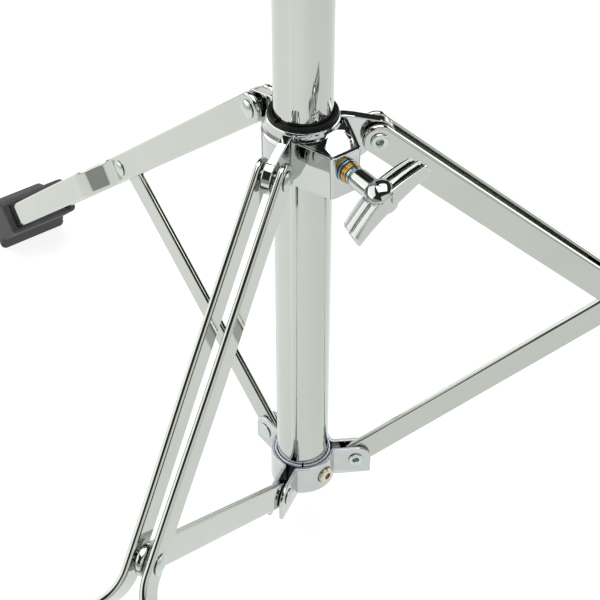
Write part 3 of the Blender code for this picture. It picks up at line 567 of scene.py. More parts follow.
def bar_bm(side):
    half = BAR_W / 2
    far = bar_bend.s1
    outline = (
        circle(0, 0, 8.1, 30, 101.0, 158.0)
        + [(0.0 + 1.6, -half), (40, -half), (120, -half), (200, -half), (280, -half)]
        + soften([(far - 30, -half), (far, -half), (far, half), (far - 30, half)], 2.0, 4, closed=False)
        + [(280, half), (200, half), (120, half), (40, half), (1.6, half)]
    )
    bm = plate_bm(outline, BAR_T, 1.7, [circle(0, 0, PIN_R + GAP, 32), circle(LEG_TO_JOINT, 0, PIN_R + GAP, 32)], seg=8, squash=0.95)
    cut_across(bm, bar_bend.stations(4.0, (84, 96, 108, 120, 132, 144, 156, 168, 240, 270, 300, 330, 360)))
    warp(bm, lambda s, w, n: bar_point(s, w, n, side))
    return bm


def foot_bm():
    """A rubber foot moulded round the two bar ends, with ribs along its top and a grooved sole."""
    a = rad(LEG_SLOPE)
    end_x, end_y = 402.0 * math.cos(a), -402.0 * math.sin(a)
    ux, uy, nx, ny = -math.cos(a), math.sin(a), math.sin(a), math.cos(a)
    drop = -PIVOT_Z
    pts = [
        (end_x - 14.0, drop), (end_x - 9.0, drop), (end_x - 8.2, drop + 1.4), (end_x - 5.8, drop + 1.4), (end_x - 5.0, drop),
        (end_x - 1.0, drop), (end_x - 0.2, drop + 1.4), (end_x + 2.2, drop + 1.4), (end_x + 3.0, drop), (end_x + 7.0, drop),
        (end_x + 7.8, drop + 1.4), (end_x + 9.6, drop + 1.0),
        (end_x + 12.0, drop), (end_x + 18.0, drop + 2.2), (end_x + 21.0, drop + 7.5), (end_x + 20.5, drop + 14.5), (end_x + 16.5, drop + 20.5),
        (end_x + ux * 4 + nx * 13.5, end_y + uy * 4 + ny * 13.5),
    ]
    for k in range(5):
        d = 10 + k * 6.0
        pts += [(end_x + ux * d + nx * 13.2, end_y + uy * d + ny * 13.2), (end_x + ux * (d + 0.8) + nx * 12.2, end_y + uy * (d + 0.8) + ny * 12.2),
                (end_x + ux * (d + 2.4) + nx * 12.2, end_y + uy * (d + 2.4) + ny * 12.2), (end_x + ux * (d + 3.2) + nx * 13.1, end_y + uy * (d + 3.2) + ny * 13.1)]
    pts += [
        (end_x + ux * 40 + nx * 11.6, end_y + uy * 40 + ny * 11.6), (end_x + ux * 42 + nx * 10.0, end_y + uy * 42 + ny * 10.0),
        (end_x + ux * 42 - nx * 10.0, end_y + uy * 42 - ny * 10.0), (end_x + ux * 40 - nx * 11.6, end_y + uy * 40 - ny * 11.6),
        (end_x + ux * 12 - nx * 12.5, end_y + uy * 12 - ny * 12.5),
    ]
    bm = plate_bm(soften(pts, 0.7, 3), 50.0, 3.2, seg=5)
    turn = Matrix.Rotation(rad(90), 4, "X")
    bm.transform(turn)
    for sign in (1.0, -1.0):
        y = BAR_HALF_FOOT * sign
        cutter = box_bm((330.0, y - BAR_T / 2 - 0.15, -BAR_W / 2 - 0.15), (LEG_END + GAP, y + BAR_T / 2 + 0.15, BAR_W / 2 + 0.15))
        cutter.transform(Matrix.Rotation(a, 4, "Y"))
        bm = boolean_bm(bm, cutter)
    return bm


def dome(r, h, n=7, edge=0.35):
    """Outer profile of a low domed head from its crown to its rim."""
    rr = (r * r + h * h) / (2 * h)
    top = math.asin(min(1.0, r / rr))
    return [(rr * math.sin(top * k / n), h - rr + rr * math.cos(top * k / n)) for k in range(n + 1)]


def head_profile(base, r, h, pin, end):
    return [(x, base + 0.45 + y) for x, y in dome(r, h - 0.45)] + [(r + 0.0, base + 0.2), (r - 0.25, base), (pin, base), (pin, end), (0, end)]


def tail_profile(base, r, pin, end):
    """Rolled hollow end, pointing down: from the shank to the curled rim and down into the hole."""
    curl = [(r, base - 0.05), (r, base - 0.45), (r - 0.25, base - 0.85), (r - 0.75, base - 1.08), (r - 1.35, base - 1.0), (2.05, base - 0.75), (1.8, base - 0.2), (1.72, base + 1.5), (0, base + 1.5)]
    return [(0, end), (pin, end), (pin, base)] + curl


def rivet_bm(half, r, h, tail):
    b = half + 0.15
    prof = head_profile(b, r, h, PIN_R, 0.0)[:-1] + tail_profile(-b, tail, PIN_R, 0.0)[2:]
    return lathe_bm(prof, 64, closed=False)


foot_mesh = None
for i, az in enumerate(LEG_AZ):
    n = i + 1
    hinge = at(COLLAR, around(az, PIVOT_R, 0), (0, 0, az))
    for side, sign in (("right", 1.0), ("left", -1.0)):
        piece(f"leg_{n}_bar_{side}_fine", bar_bm(sign), CHROME, hinge @ Matrix.Rotation(rad(LEG_SLOPE), 4, "Y"), f"leg_{n}", f"leg_{n}_bar_{side}")
    foot = piece(f"leg_{n}_foot_fine", foot_bm(), RUBBER, hinge, f"leg_{n}", f"leg_{n}_foot", angle=40)
    joint = at(hinge, (LEG_TO_JOINT * math.cos(rad(LEG_SLOPE)), 0, -LEG_TO_JOINT * math.sin(rad(LEG_SLOPE))), (-90, 0, 0))
    inner, outer = BAR_HALF_JOINT - BAR_T / 2, BAR_HALF_JOINT + BAR_T / 2
    piece(f"leg_{n}_joint_rivet_head_fine", lathe_bm(head_profile(outer + 0.15, 4.95, 2.1, PIN_R, inner), 64, closed=False), ZINC, joint, f"leg_{n}", f"leg_{n}_joint_rivet_head")
    piece(f"leg_{n}_joint_rivet_tail_fine", lathe_bm(tail_profile(-outer - 0.15, 4.3, PIN_R, -inner), 64, closed=False), ZINC, joint, f"leg_{n}", f"leg_{n}_joint_rivet_tail")

    joint_r = PIVOT_R + LEG_TO_JOINT * math.cos(rad(LEG_SLOPE))
    joint_z = PIVOT_Z - LEG_TO_JOINT * math.sin(rad(LEG_SLOPE))
    length = math.hypot(joint_r - LOWER_R, joint_z - LOWER_Z)
    slope = math.degrees(math.atan2(joint_z - LOWER_Z, joint_r - LOWER_R))
    outline = circle(0, 0, BRACE_W / 2, 33, 90.0, 180.0) + circle(length, 0, BRACE_W / 2, 33, -90.0, 180.0)
    bm = plate_bm(outline, BRACE_T, 1.6, [circle(0, 0, PIN_R + GAP, 32), circle(length, 0, PIN_R + GAP, 32)], seg=7, squash=0.95)
    base = at(CLAMP, around(az, LOWER_R, 0), (0, 0, az))
    piece(f"brace_{n}_fine", bm, CHROME, base @ Matrix.Rotation(rad(-slope), 4, "Y") @ Matrix.Rotation(rad(90), 4, "X"), f"brace_{n}", f"brace_{n}")
    piece(f"upper_rivet_{n}_fine", rivet_bm(BAR_HALF_TOP + BAR_T / 2, 4.95, 2.1, 4.4), ZINC, at(COLLAR, around(az, PIVOT_R, 0), (-90, 0, az)), "collar", f"upper_rivet_{n}")
    piece(f"lower_rivet_{n}_fine", rivet_bm(LUG_HALF + CLAMP_SHEET_T / 2, 4.65, 1.8, 4.2), ZINC, at(CLAMP, around(az, LOWER_R, 0), (-90, 0, az)), "base", f"lower_rivet_{n}")


# ------------------------------------------------------------------ lower clamp
CLAMP_BEND = 1.3
_start = math.degrees(math.asin((LUG_HALF + CLAMP_BEND) / (CLAMP_SHEET_R + CLAMP_BEND)))
_foot = (CLAMP_SHEET_R + CLAMP_BEND) * math.cos(rad(_start))
lug_run = LUG_TIP - _foot
clamp_bend = Bend(
    LUG_TIP, LUG_HALF, math.pi,
    [("line", lug_run, 0), ("arc", CLAMP_BEND, -(90 - _start)), ("arc", CLAMP_SHEET_R, 120 - 2 * _start), ("arc", CLAMP_BEND, -(90 - _start)), ("line", lug_run, 0)],
)


def clamp_sheet_bm(screw):
    total = clamp_bend.s1
    pivot = LUG_TIP - LOWER_R
    tip = [(0.0, -11.0), (0.0, -0.6)] + [(pivot - 8.7 * math.cos(rad(a)), -0.3 + 8.7 * math.sin(rad(a))) for a in (6, 14, 22, 30, 38, 46, 54, 62, 69)]
    end = (pivot - 8.7 * math.cos(rad(76)), 8.2)
    body_start, body_end = lug_run - 1.0, lug_run + 6.0
    side = tip + [end, (pivot + 2.0, 8.2), (body_start, 8.4), (body_end, 9.3)]
    lower = [(body_end, -10.1), (body_start, -10.8), (body_start - 4.0, -11.0)]
    outline = side + [(total - x, y) for x, y in reversed(side)] + [(total - x, y) for x, y in reversed(lower)] + lower
    outline = soften(outline, 0.5, 2)
    holes = [circle(pivot, 0, PIN_R + GAP, 32), circle(total - pivot, 0, PIN_R + GAP, 32)]
    if screw:
        holes.append(circle(total / 2 + rad(9.0) * CLAMP_SHEET_R, -0.5, 5.0, 40))
    bm = plate_bm(outline, CLAMP_SHEET_T, 0.6, holes, seg=4)
    cut_across(bm, clamp_bend.stations(4.0))

    def fn(s, z, n):
        x, y = clamp_bend.point(s, -n)
        return (x, y, z)

    warp(bm, fn)
    return bm


for i, az in enumerate(LEG_AZ):
    sheet = piece(f"lower_clamp_segment_{i + 1}_fine", clamp_sheet_bm(i == 0), CHROME_CAST, at(CLAMP, turn=(0, 0, az)), "base", f"lower_clamp_segment_{i + 1}")
    # the upward faces take the lavender-tinted metal: a rougher cut edge with a painted reflection tone
    sheet.data.materials.append(CUT_EDGE_PAINTED_TINT)
    for face in sheet.data.polygons:
        if face.normal.z > 0.9:
            face.material_index = 1
sleeve_bm = lathe_bm(soften([(15.55, 9.9), (15.55, -12.2), (14.6, -12.2), (14.6, 9.9)], 0.2, 2), 128)
bmesh.ops.bisect_plane(sleeve_bm, geom=sleeve_bm.verts[:] + sleeve_bm.edges[:] + sleeve_bm.faces[:], dist=1e-7, plane_co=(0, 0, 8.4 * MM), plane_no=(0, 0, 1))
split = box_bm((12.0, -0.55, -14.0), (18.0, 0.55, 12.0))
split.transform(Matrix.Rotation(rad(VIEW_AZ - 90), 4, "Z"))
sleeve = piece("lower_clamp_sleeve_fine", boolean_bm(sleeve_bm, split), SATIN, CLAMP, "base", "lower_clamp_sleeve")
# painted shade: the sleeve's outer face below its top band turns near-black, so the slots between the clamp sheets read
# as deep shade
sleeve.data.materials.append(SLOT_SHADE_BLACK)
for face in sleeve.data.polygons:
    if math.hypot(face.center.x, face.center.y) > 15.5 * MM and face.center.z < 8.4 * MM:
        face.material_index = 1
screw_bm = boolean_bm(
    lathe_bm(soften([(0, 19.9), (3.9, 19.9), (4.8, 19.1), (4.8, 14.6), (0, 14.6)], 0.35, 3, closed=False), 64, closed=False),
    lathe_bm([(0, 21), (2.3, 21), (2.3, 17.0), (0, 16.4)], 6, closed=False),
)
piece("clamp_set_screw_fine", screw_bm, STEEL, at(CLAMP, (0, 0, -0.5), (0, 90, -21)), "base", "clamp_set_screw")


# ------------------------------------------------------------------ collar
def cone_top(r):
    return 11.3 - 0.12 * (r - 20.0)


def web_top(r):
    return cone_top(r) - 0.55 - 0.5 * (33.0 - r) / 13.0


def arm_top(r):
    return 12.2 - 0.19 * (r - 20.0)


ring_profile = [(17.1, COLLAR_TOP), (17.6, COLLAR_TOP - 0.6), (18.2, COLLAR_TOP - 4.2), (19.0, COLLAR_TOP - 6.2), (COLLAR_R, COLLAR_TOP - 7.6), (COLLAR_R, COLLAR_Z0), (COLLAR_BORE, COLLAR_Z0), (COLLAR_BORE, COLLAR_TOP)]
ring_bm = lathe_bm(soften(ring_profile, [0.25, 0.5, 3.0, 3.0, 1.5, 0.7, 0.3, 0.3], 4), 160)
ring_hole = lathe_bm([(0, 27), (BOLT_R + 0.4, 27), (BOLT_R + 0.4, 10), (0, 10)], 40, closed=False)
ring_hole.transform(at(Matrix.Identity(4), (0, 0, 0.5), (0, 90, BOLT_AZ)))
ring_bm = boolean_bm(ring_bm, ring_hole)
piece("collar_ring_fine", ring_bm, CHROME_CAST, COLLAR, "collar", "leg_collar")

arm_outline = (
    [(17.2, -12.5), (22.0, -12.5), (27.0, -12.0)]
    + circle(PIVOT_R, 0, ARM_END_R, 40, -112.0, 197.0)
    + [(24.0, arm_top(24.0)), (19.0, arm_top(19.0)), (17.2, arm_top(18.0) - 0.4)]
)
for i, az in enumerate(LEG_AZ):
    bm = plate_bm(soften(arm_outline, [2.0, 2.0, 3.0] + [0] * 40 + [1, 1, 0.5], 3), ARM_T, 0.75, [circle(PIVOT_R, 0, PIN_R + GAP, 32)], seg=4)
    piece(f"collar_arm_{i + 1}_fine", bm, CHROME_CAST, at(COLLAR, turn=(90, 0, az)), "collar", "leg_collar")

# the housing is one bent sheet: side wall, wing-bolt face, side wall
face_mid = FACE_D - SHEET / 2
corner = (face_mid, FACE_HALF - 0.35)
root = (ROOT_D + 0.3, ROOT_HALF - 0.4)
wall_len = math.hypot(corner[0] - root[0], corner[1] - root[1])
wall_heading = math.atan2(corner[1] - root[1], corner[0] - root[0])
CORNER_R = 1.7
turn_deg = 90 + math.degrees(wall_heading)
tangent = CORNER_R * math.tan(rad((90 + math.degrees(wall_heading)) / 2))
housing_bend = Bend(
    root[0], -root[1], -wall_heading,
    [("line", wall_len - tangent, 0), ("arc", CORNER_R, turn_deg), ("line", 2 * (corner[1] - tangent), 0), ("arc", CORNER_R, turn_deg), ("line", wall_len - tangent, 0)],
)


def housing_bm():
    total = housing_bend.s1
    wall = wall_len - tangent
    outline = [
        (0, -13.4), (wall, -13.5), (total / 2, -13.5), (total - wall, -13.5), (total, -13.4),
        (total, cone_top(19.8) - 0.1), (total - wall * 0.5, cone_top(25.0)), (total - wall, 9.45), (total / 2, 9.35), (wall, 9.45), (wall * 0.5, cone_top(25.0)), (0, cone_top(19.8) - 0.1),
    ]
    bm = plate_bm(soften(outline, [0.6, 5, 5, 5, 0.6, 0.6, 5, 5, 5, 5, 5, 0.6], 3), SHEET, 0.55, [circle(total / 2, 0.5, 5.1, 40)], seg=3)
    cut_across(bm, housing_bend.stations(6.0))

    def fn(s, z, n):
        x, y = housing_bend.point(s, n)
        return (x, y, z)

    warp(bm, fn)
    return bm


piece("wing_bolt_housing_fine", housing_bm(), CHROME_CAST, at(COLLAR, turn=(0, 0, BOLT_AZ)), "collar", "leg_collar")

# web plate with its window, lying on the cone just under the walls' top edges
web_outline = [(12.8, -15.4), (face_mid - 0.9, -FACE_HALF + 0.9), (face_mid - 0.9, FACE_HALF - 0.9), (12.8, 15.4), (13.8, 10.5), (16.6, 5.0), (17.2, 0.0), (16.6, -5.0), (13.8, -10.5)]
window = [(31.9, -6.7), (31.9, 6.7), (27.6, 8.9), (24.3, 9.7), (20.6, 9.0), (18.7, 7.2), (18.3, 5.6), (18.6, 3.2), (19.8, -0.6), (24.7, -5.9)]
bm = plate_bm(soften(web_outline, 0.3, 2), 2.0, 0.4, [soften(window, [0.4, 0.6, 3.0, 2.5, 2.0, 1.2, 2.0, 4.0, 4.0, 1.4], 5)], seg=3, hole_edge=0.25)
cut_across(bm, [14, 16, 18, 20, 22, 24, 26, 28, 30, 32])
warp(bm, lambda x, y, z: (x, y, z + web_top(math.hypot(x, y)) - 1.0))
piece("housing_web_fine", bm, CHROME_CAST, at(COLLAR, turn=(0, 0, BOLT_AZ)), "collar", "leg_collar")
pocket = [(17.4, 0.8), (20.6, -4.2), (25.0, -10.2), (32.4, -7.5), (32.4, 7.5), (24.5, 10.8), (18.6, 9.9), (17.2, 6.4)]
bm = plate_bm([((u - 18.5) / math.cos(rad(POCKET_DEG)), v) for u, v in pocket], 1.0, 0.2, seg=2)
piece("housing_pocket_fine", bm, CHROME_CAST, at(COLLAR, around(BOLT_AZ, 18.5, 10.1), (0, POCKET_DEG, BOLT_AZ)), "collar", "leg_collar")

bush_profile = soften([(14.95, COLLAR_TOP + 2.4), (16.4, COLLAR_TOP + 2.4), (16.8, COLLAR_TOP + 1.9), (16.8, COLLAR_TOP + 1.35), (16.55, COLLAR_TOP + 1.2), (16.8, COLLAR_TOP + 1.05), (16.8, COLLAR_TOP + 0.12), (15.95, COLLAR_TOP + 0.12), (15.95, COLLAR_Z0 + 0.5), (14.6, COLLAR_Z0 + 0.5), (14.6, COLLAR_TOP + 2.1)], 0.2, 3)
bush = lathe_bm(bush_profile, 160)
split = box_bm((-5.5, -18.5, COLLAR_TOP + 1.5), (0.0, -14.0, COLLAR_TOP + 4.0))
split.transform(Matrix.Rotation(rad(-9.5), 4, "Z"))
bush = boolean_bm(bush, split)
piece("collar_bush_fine", bush, NYLON, COLLAR, "collar", "collar_bush")

BOLT = at(COLLAR, (0, 0, 0.5), (0, 90, BOLT_AZ))
brass_profile = soften(
    [(4.9, 38.3), (5.25, 38.0), (5.3, 37.2), (4.95, 37.0), (4.95, 36.8), (5.3, 36.6), (5.3, 35.6), (5.0, 35.35), (4.7, 35.3), (4.7, 28.5), (4.3, 28.5), (4.3, 38.3)], 0.15, 2
)
piece("collar_bolt_bushing_fine", lathe_bm(brass_profile, 72), BRASS, BOLT, "collar", "collar_bolt_bushing")
piece("collar_bolt_washer_fine", lathe_bm(soften([(5.8, 35.05), (5.8, 34.1), (4.85, 34.1), (4.85, 35.05)], 0.2, 3), 72), BLUE_ZINC, BOLT, "collar", "collar_bolt_washer")


# ------------------------------------------------------------------ wing bolts
def wings_bm(z_ball, span, k, stations=37):
    """Two thick swept wings in one: three narrow ridges run along the top and the bottom, the outer face is smooth."""
    bm = bmesh.new()
    rows = []
    fs = [-1 + 2 * i / (stations - 1) for i in range(stations)]
    grid = [(-1.0, 0.80), (-0.997, 0.93), (-0.985, 0.99)] + [(f, 1.0) for f in fs if abs(f) < 0.975] + [(0.985, 0.99), (0.997, 0.93), (1.0, 0.80)]
    depth, tall = 5.75 * k, 5.3 * k
    half = [(0.55 * k, tall), (0.9 * k, tall - 0.95 * k), (3.9 * k, tall - 0.95 * k), (4.4 * k, tall), (depth, tall)]
    top = [(-x, y) for x, y in reversed(half)] + half
    outer = [(depth + 0.35 * k, tall * 0.55), (depth + 0.45 * k, 0.0), (depth + 0.35 * k, -tall * 0.55)]
    bottom = [(x, -y) for x, y in reversed(top)]
    inner = [(-depth - 0.3 * k, -tall * 0.55), (-depth - 0.4 * k, 0.0), (-depth - 0.3 * k, tall * 0.55)]
    section = soften(top + outer + bottom + inner, 0.28 * k, 3)
    crest = tall - 1.6 * k
    for f, shrink in grid:
        m = abs(f)
        high = (5.3 - 1.85 * m) * k
        mid = z_ball + 5.6 * k + 3.1 * k * (0.165 * m + 0.835 * f * f)
        row = []
        for x, y in section:
            if abs(y) > crest:
                yy = math.copysign(abs(y) - tall + high, y)
            else:
                yy = y * (high - 1.6 * k) / crest
            sunk = 0.5 * k if abs(y) < tall - 0.5 * k and abs(x) < 4.5 * k else 0.0
            corner = max(0.0, abs(x) / depth - 0.6) / 0.4
            reach = span * (1 + 0.055 * x / depth) + 0.45 * k * m**8 - 0.9 * k * corner * corner * m**12 - sunk * m**8
            row.append(bm.verts.new((f * reach * MM, yy * shrink * MM, (mid + x * (0.5 + 0.5 * shrink)) * MM)))
        rows.append(row)
    n = len(rows[0])
    for a, b in zip(rows, rows[1:]):
        for i in range(n):
            j = (i + 1) % n
            bm.faces.new((a[i], a[j], b[j], b[i]))
    for row in (rows[0], rows[-1]):
        for tri in tessellate_polygon([[Vector((v.co.y, v.co.z, 0)) for v in row]]):
            if len(set(tri)) == 3:
                bm.faces.new([row[i] for i in tri])
    bmesh.ops.recalc_face_normals(bm, faces=bm.faces)
    return bm


def wing_bolt(name, tip, hub, boss, span, matrix, body, k, shoulder=0.0):
    z_ball = hub + 14.7 * k
    middle = z_ball + 5.5 * k
    neck = [(0, middle), (5.45 * k, middle), (5.4 * k, hub + 2.8), (5.25 * k, hub + 1.5), (4.8 * k, hub + 0.5), (4.5 * k, hub)]
    thread = []
    z = hub
    if shoulder:
        neck += [(4.7, hub - 0.05), (4.75, hub - shoulder + 0.2), (4.5, hub - shoulder)]
        z -= shoulder
    stop = tip + 0.8
    while z - 1.0 > stop:
        thread += [(BOLT_R - 0.45, z - 0.25), (BOLT_R, z - 0.62), (BOLT_R - 0.45, z - 1.0)]
        z -= 1.0
    profile = neck + thread + [(BOLT_R - 0.5, stop), (BOLT_R - 1.0, tip), (0, tip)]
    obj = piece(name + "_fine", lathe_bm(profile, 80, closed=False), CHROME_CAST, matrix, body, name, angle=40)
    obj.data.materials.append(BLUE_ZINC if shoulder else BARE)
    for face in obj.data.polygons:
        if face.center.z < (hub - 0.02) * MM:
            face.material_index = 1
    rb = boss * k
    crown = [(x, 5.9 * k + y) for x, y in dome(rb - 0.35 * k, 3.0 * k, 10)]
    rim = [(rb, 5.5 * k), (rb + 0.05 * k, 4.9 * k), (rb + 0.1 * k, 4.5 * k), (rb + 0.5 * k, 4.1 * k)]
    half = crown + rim + [(rb + 0.1 * k, 2.8 * k)]
    under = [(min(x, 6.1 * k), -y) for x, y in reversed(half) if y > k]
    round_boss = lathe_bm(half + under, 96, closed=False)
    round_boss.transform(Matrix.Translation((0, 0, middle * MM)) @ Matrix.Rotation(rad(-90), 4, "X"))
    piece(name + "_boss_fine", round_boss, CHROME_CAST, matrix, body, name, angle=50)
    piece(name + "_wings_fine", wings_bm(z_ball, span, k), CHROME_CAST, matrix, body, name, angle=75, weighted=False)
    return obj


def bolt_frame(base, location, az, roll):
    return at(base, location) @ Matrix.Rotation(rad(az), 4, "Z") @ Matrix.Rotation(rad(90), 4, "Y") @ Matrix.Rotation(rad(90 + roll), 4, "Z")


wing_bolt("collar_wing_bolt", 14.7, 40.0, 6.9, 22.2, bolt_frame(COLLAR, (0, 0, 0.5), BOLT_AZ, WING_TILT), "collar_bolt", 0.95, shoulder=1.35)


# ------------------------------------------------------------------ height clamps and memory locks
def height_clamp(prefix, z, tube_r, tube_wall, inner_r, base, body, az, wing_scale, bolt_body):
    out = tube_r + 5.2
    lip = inner_r + 2.0
    shell_profile = soften(
        [(out - 1.6, z + 6.0), (out - 0.3, z + 4.4), (out, z + 1.0), (out, z - 8.0), (out - 0.9, z - 9.0), (out - 0.9, z - 21.0), (out, z - 22.0), (out, z - 30.0), (out - 1.2, z - 34.0), (tube_r + GAP, z - 34.0), (tube_r + GAP, z + GAP), (lip, z + GAP), (lip, z + 6.0)],
        [0.6, 1.0, 1.0, 0.6, 0.8, 0.8, 0.6, 1.0, 0.8, 0.3, 0.3, 0.3, 0.4], 3,
    )
    shell = lathe_bm(shell_profile, 96)
    boss = plate_bm(soften([(tube_r + 1.5, -9.0), (out + 6.0, -7.8), (out + 9.0, -6.0), (out + 9.0, 6.0), (out + 6.0, 7.8), (tube_r + 1.5, 9.0)], [1.6, 2, 2.5, 2.5, 2, 1.6], 4), 22.0, 1.4, seg=4)
    boss.transform(at(Matrix.Identity(4), (0, 0, z - 15.0), (0, 0, az)))
    shell = boolean_bm(shell, boss, "UNION")
    bore = lathe_bm([(0, out + 14.0), (BOLT_R + 0.4, out + 14.0), (BOLT_R + 0.4, 2.0), (0, 2.0)], 40, closed=False)
    bore.transform(at(Matrix.Identity(4), (0, 0, z - 15.0), (0, 90, az)))
    inside = lathe_bm([(0, z + 1.0), (tube_r + GAP, z + GAP), (tube_r + GAP, z - 34.5), (0, z - 34.5)], 96, closed=False)
    shell = boolean_bm(shell, bore)
    piece(prefix + "_body_fine", shell, CHROME_CAST, base, body, prefix + "_body", angle=38)
    wall_inner = tube_r - tube_wall
    insert = lathe_bm(
        soften([(out - 2.6, z + 8.6), (out - 2.0, z + 7.8), (out - 2.0, z + 6.15), (wall_inner - GAP, z + 6.15), (wall_inner - GAP, z - 32.0), (inner_r + 0.2, z - 32.0), (inner_r + 0.2, z + 8.2), (inner_r + 0.7, z + 8.6)], 0.3, 3), 96
    )
    piece(prefix + "_insert_fine", insert, NYLON, base, body, prefix + "_insert")
    wing_bolt(prefix + "_wing_bolt", inner_r + 0.4, out + 10.0, 6.9, 20.0 * wing_scale * 0.97, bolt_frame(base, (0, 0, z - 15.0), az, WING_TILT), bolt_body, 0.9 * wing_scale)


def memory_lock(prefix, z, inner_r, base, body, az):
    out = inner_r + 5.0
    lock = lathe_bm(soften([(out - 0.8, z + 13.0), (out, z + 12.2), (out, z + 0.8), (out - 0.8, z), (inner_r + GAP, z), (inner_r + GAP, z + 13.0)], 0.4, 3), 96)
    ears = plate_bm(soften([(inner_r + 1.2, -6.5), (out + 9.0, -6.5), (out + 9.0, 6.5), (inner_r + 1.2, 6.5)], 2.6, 5), 11.0, 1.8, seg=5)
    ears.transform(at(Matrix.Identity(4), (0, 0, z + 6.5), (0, 0, az)))
    lock = boolean_bm(lock, ears, "UNION")
    slit = box_bm((inner_r - 4.0, -0.8, -10.0), (out + 12.0, 0.8, 10.0))
    slit.transform(at(Matrix.Identity(4), (0, 0, z + 6.5), (0, 0, az)))
    lock = boolean_bm(lock, slit)
    bore = lathe_bm([(0, 12), (2.8, 12), (2.8, -12), (0, -12)], 36, closed=False)
    bore.transform(at(Matrix.Identity(4), around(az, out + 4.0, z + 6.5), (90, 0, az)))
    lock = boolean_bm(lock, bore)
    piece(prefix + "_fine", lock, CHROME_CAST, base, body, prefix, angle=38)
    key = lathe_bm(soften([(0, 10.6), (4.2, 10.6), (4.6, 10.1), (4.6, 6.8), (2.4, 6.8), (2.4, -7.6), (0, -7.6)], 0.25, 3, closed=False), 48, closed=False)
    square = box_bm((-2.8, -2.8, 10.3), (2.8, 2.8, 15.6), 0.4, 3)
    key = boolean_bm(key, square, "UNION")
    piece(prefix + "_screw_fine", key, CHROME_CAST, at(base, around(az, out + 4.0, z + 6.5), (-90, 0, az)), body, prefix + "_screw", angle=38)


height_clamp("height_clamp", TUBE_Z1, TUBE_R, TUBE_WALL, MID_R, AXIS, "base", BOLT_AZ, 1.0, "height_clamp_bolt")
memory_lock("lower_memory_lock", TUBE_Z1 + 9.2 - MID_Z0, MID_R, MIDDLE, "middle", 90.0)
height_clamp("upper_clamp", MID_Z1 - MID_Z0, MID_R, MID_WALL, ROD_R, MIDDLE, "middle", BOLT_AZ, 0.92, "upper_clamp_bolt")
memory_lock("upper_memory_lock", MID_Z1 + 9.2 - ROD_Z0, ROD_R, TOP, "top", 90.0)


# ------------------------------------------------------------------ tilter
def toothed_disc_bm(r, t, teeth, face):
    """A plain disc on Z with rounded rims, turned in teeth * 4 steps, with no teeth cut. face is not used."""
    prof = soften([(0, t / 2), (r, t / 2), (r, -t / 2), (0, -t / 2)], [0, 0.7, 0.7, 0], 3, closed=False)
    bm = lathe_bm(prof, teeth * 4, closed=False)
    return bm


disc = soften([(0, DISC_T / 2), (DISC_R, DISC_T / 2), (DISC_R, -DISC_T / 2), (0, -DISC_T / 2)], [0, 0.9, 0.9, 0], 4, closed=False)
tilt_base = lathe_bm(
    soften([(0, 14.0), (8.3, 14.0), (11.0, 10.6), (11.0, -3.0), (10.4, -4.0), (10.4, -7.0), (11.0, -8.0), (11.0, -17.0), (10.2, -20.0), (ROD_R + GAP, -20.0), (ROD_R + GAP, GAP), (0, GAP)], [0, 1.5, 2, 0.6, 0.8, 0.8, 0.6, 1.0, 0.8, 0.3, 0.3, 0], 3, closed=False), 96, closed=False)
tilt_base.transform(at(Matrix.Identity(4), (0, 0, ROD_Z1 - ROD_Z0)))
low = lathe_bm(disc, 96, closed=False)
low.transform(at(Matrix.Identity(4), (-DISC_X, 0, TILT_Z - ROD_Z0), (0, -90, 0)))
tilt_base = boolean_bm(tilt_base, low, "UNION")
low_neck = box_bm((-DISC_X - DISC_T / 2 + 0.4, -7.0, -16.5), (-0.4, 7.0, -3.0), 0.9, 3)
low_neck.transform(at(Matrix.Identity(4), (0, 0, TILT_Z - ROD_Z0)))
tilt_base = boolean_bm(tilt_base, low_neck, "UNION")
piece("tilter_base_fine", tilt_base, CHROME_CAST, TOP, "top", "tilter_base", angle=38)

hex_pts = [(7.35 * math.cos(rad(60 * i + 30)), 7.35 * math.sin(rad(60 * i + 30))) for i in range(6)]
nut_bm = plate_bm(soften(hex_pts, 0.5, 3), 6.0, 0.6, [circle(0, 0, BOLT_R + 0.25, 40)], seg=3)
piece("tilter_nut_fine", nut_bm, ZINC, at(TOP, (-DISC_X - DISC_T / 2 - 3.3, 0, TILT_Z - ROD_Z0), (0, 90, 0)), "top", "tilter_nut")
wing_bolt("tilter_wing_bolt", -14.5, DISC_X + DISC_T / 2 + 0.5, 6.9, 19.0 * 0.97, bolt_frame(TOP, (0, 0, TILT_Z - ROD_Z0), 0.0, 30.0), "tilter_bolt", 0.88)

head_disc = lathe_bm(disc, 96, closed=False)
head_disc.transform(at(Matrix.Identity(4), (DISC_X, 0, 0), (0, 90, 0)))
neck = box_bm((0.5, -6.5, 3.0), (DISC_X + DISC_T / 2 - 0.4, 6.5, 17.0), 0.9, 3)
head_disc = boolean_bm(head_disc, neck, "UNION")
post = lathe_bm(soften([(0, 24.0), (8.4, 24.0), (9.4, 23.0), (9.4, 16.0), (7.6, 12.6), (0, 12.6)], [0, 0.8, 0.8, 1.0, 0.8, 0], 3, closed=False), 80, closed=False)
head_disc = boolean_bm(head_disc, post, "UNION")
piece("tilter_head_fine", head_disc, CHROME_CAST, HEAD, "head", "tilter_head", angle=38)

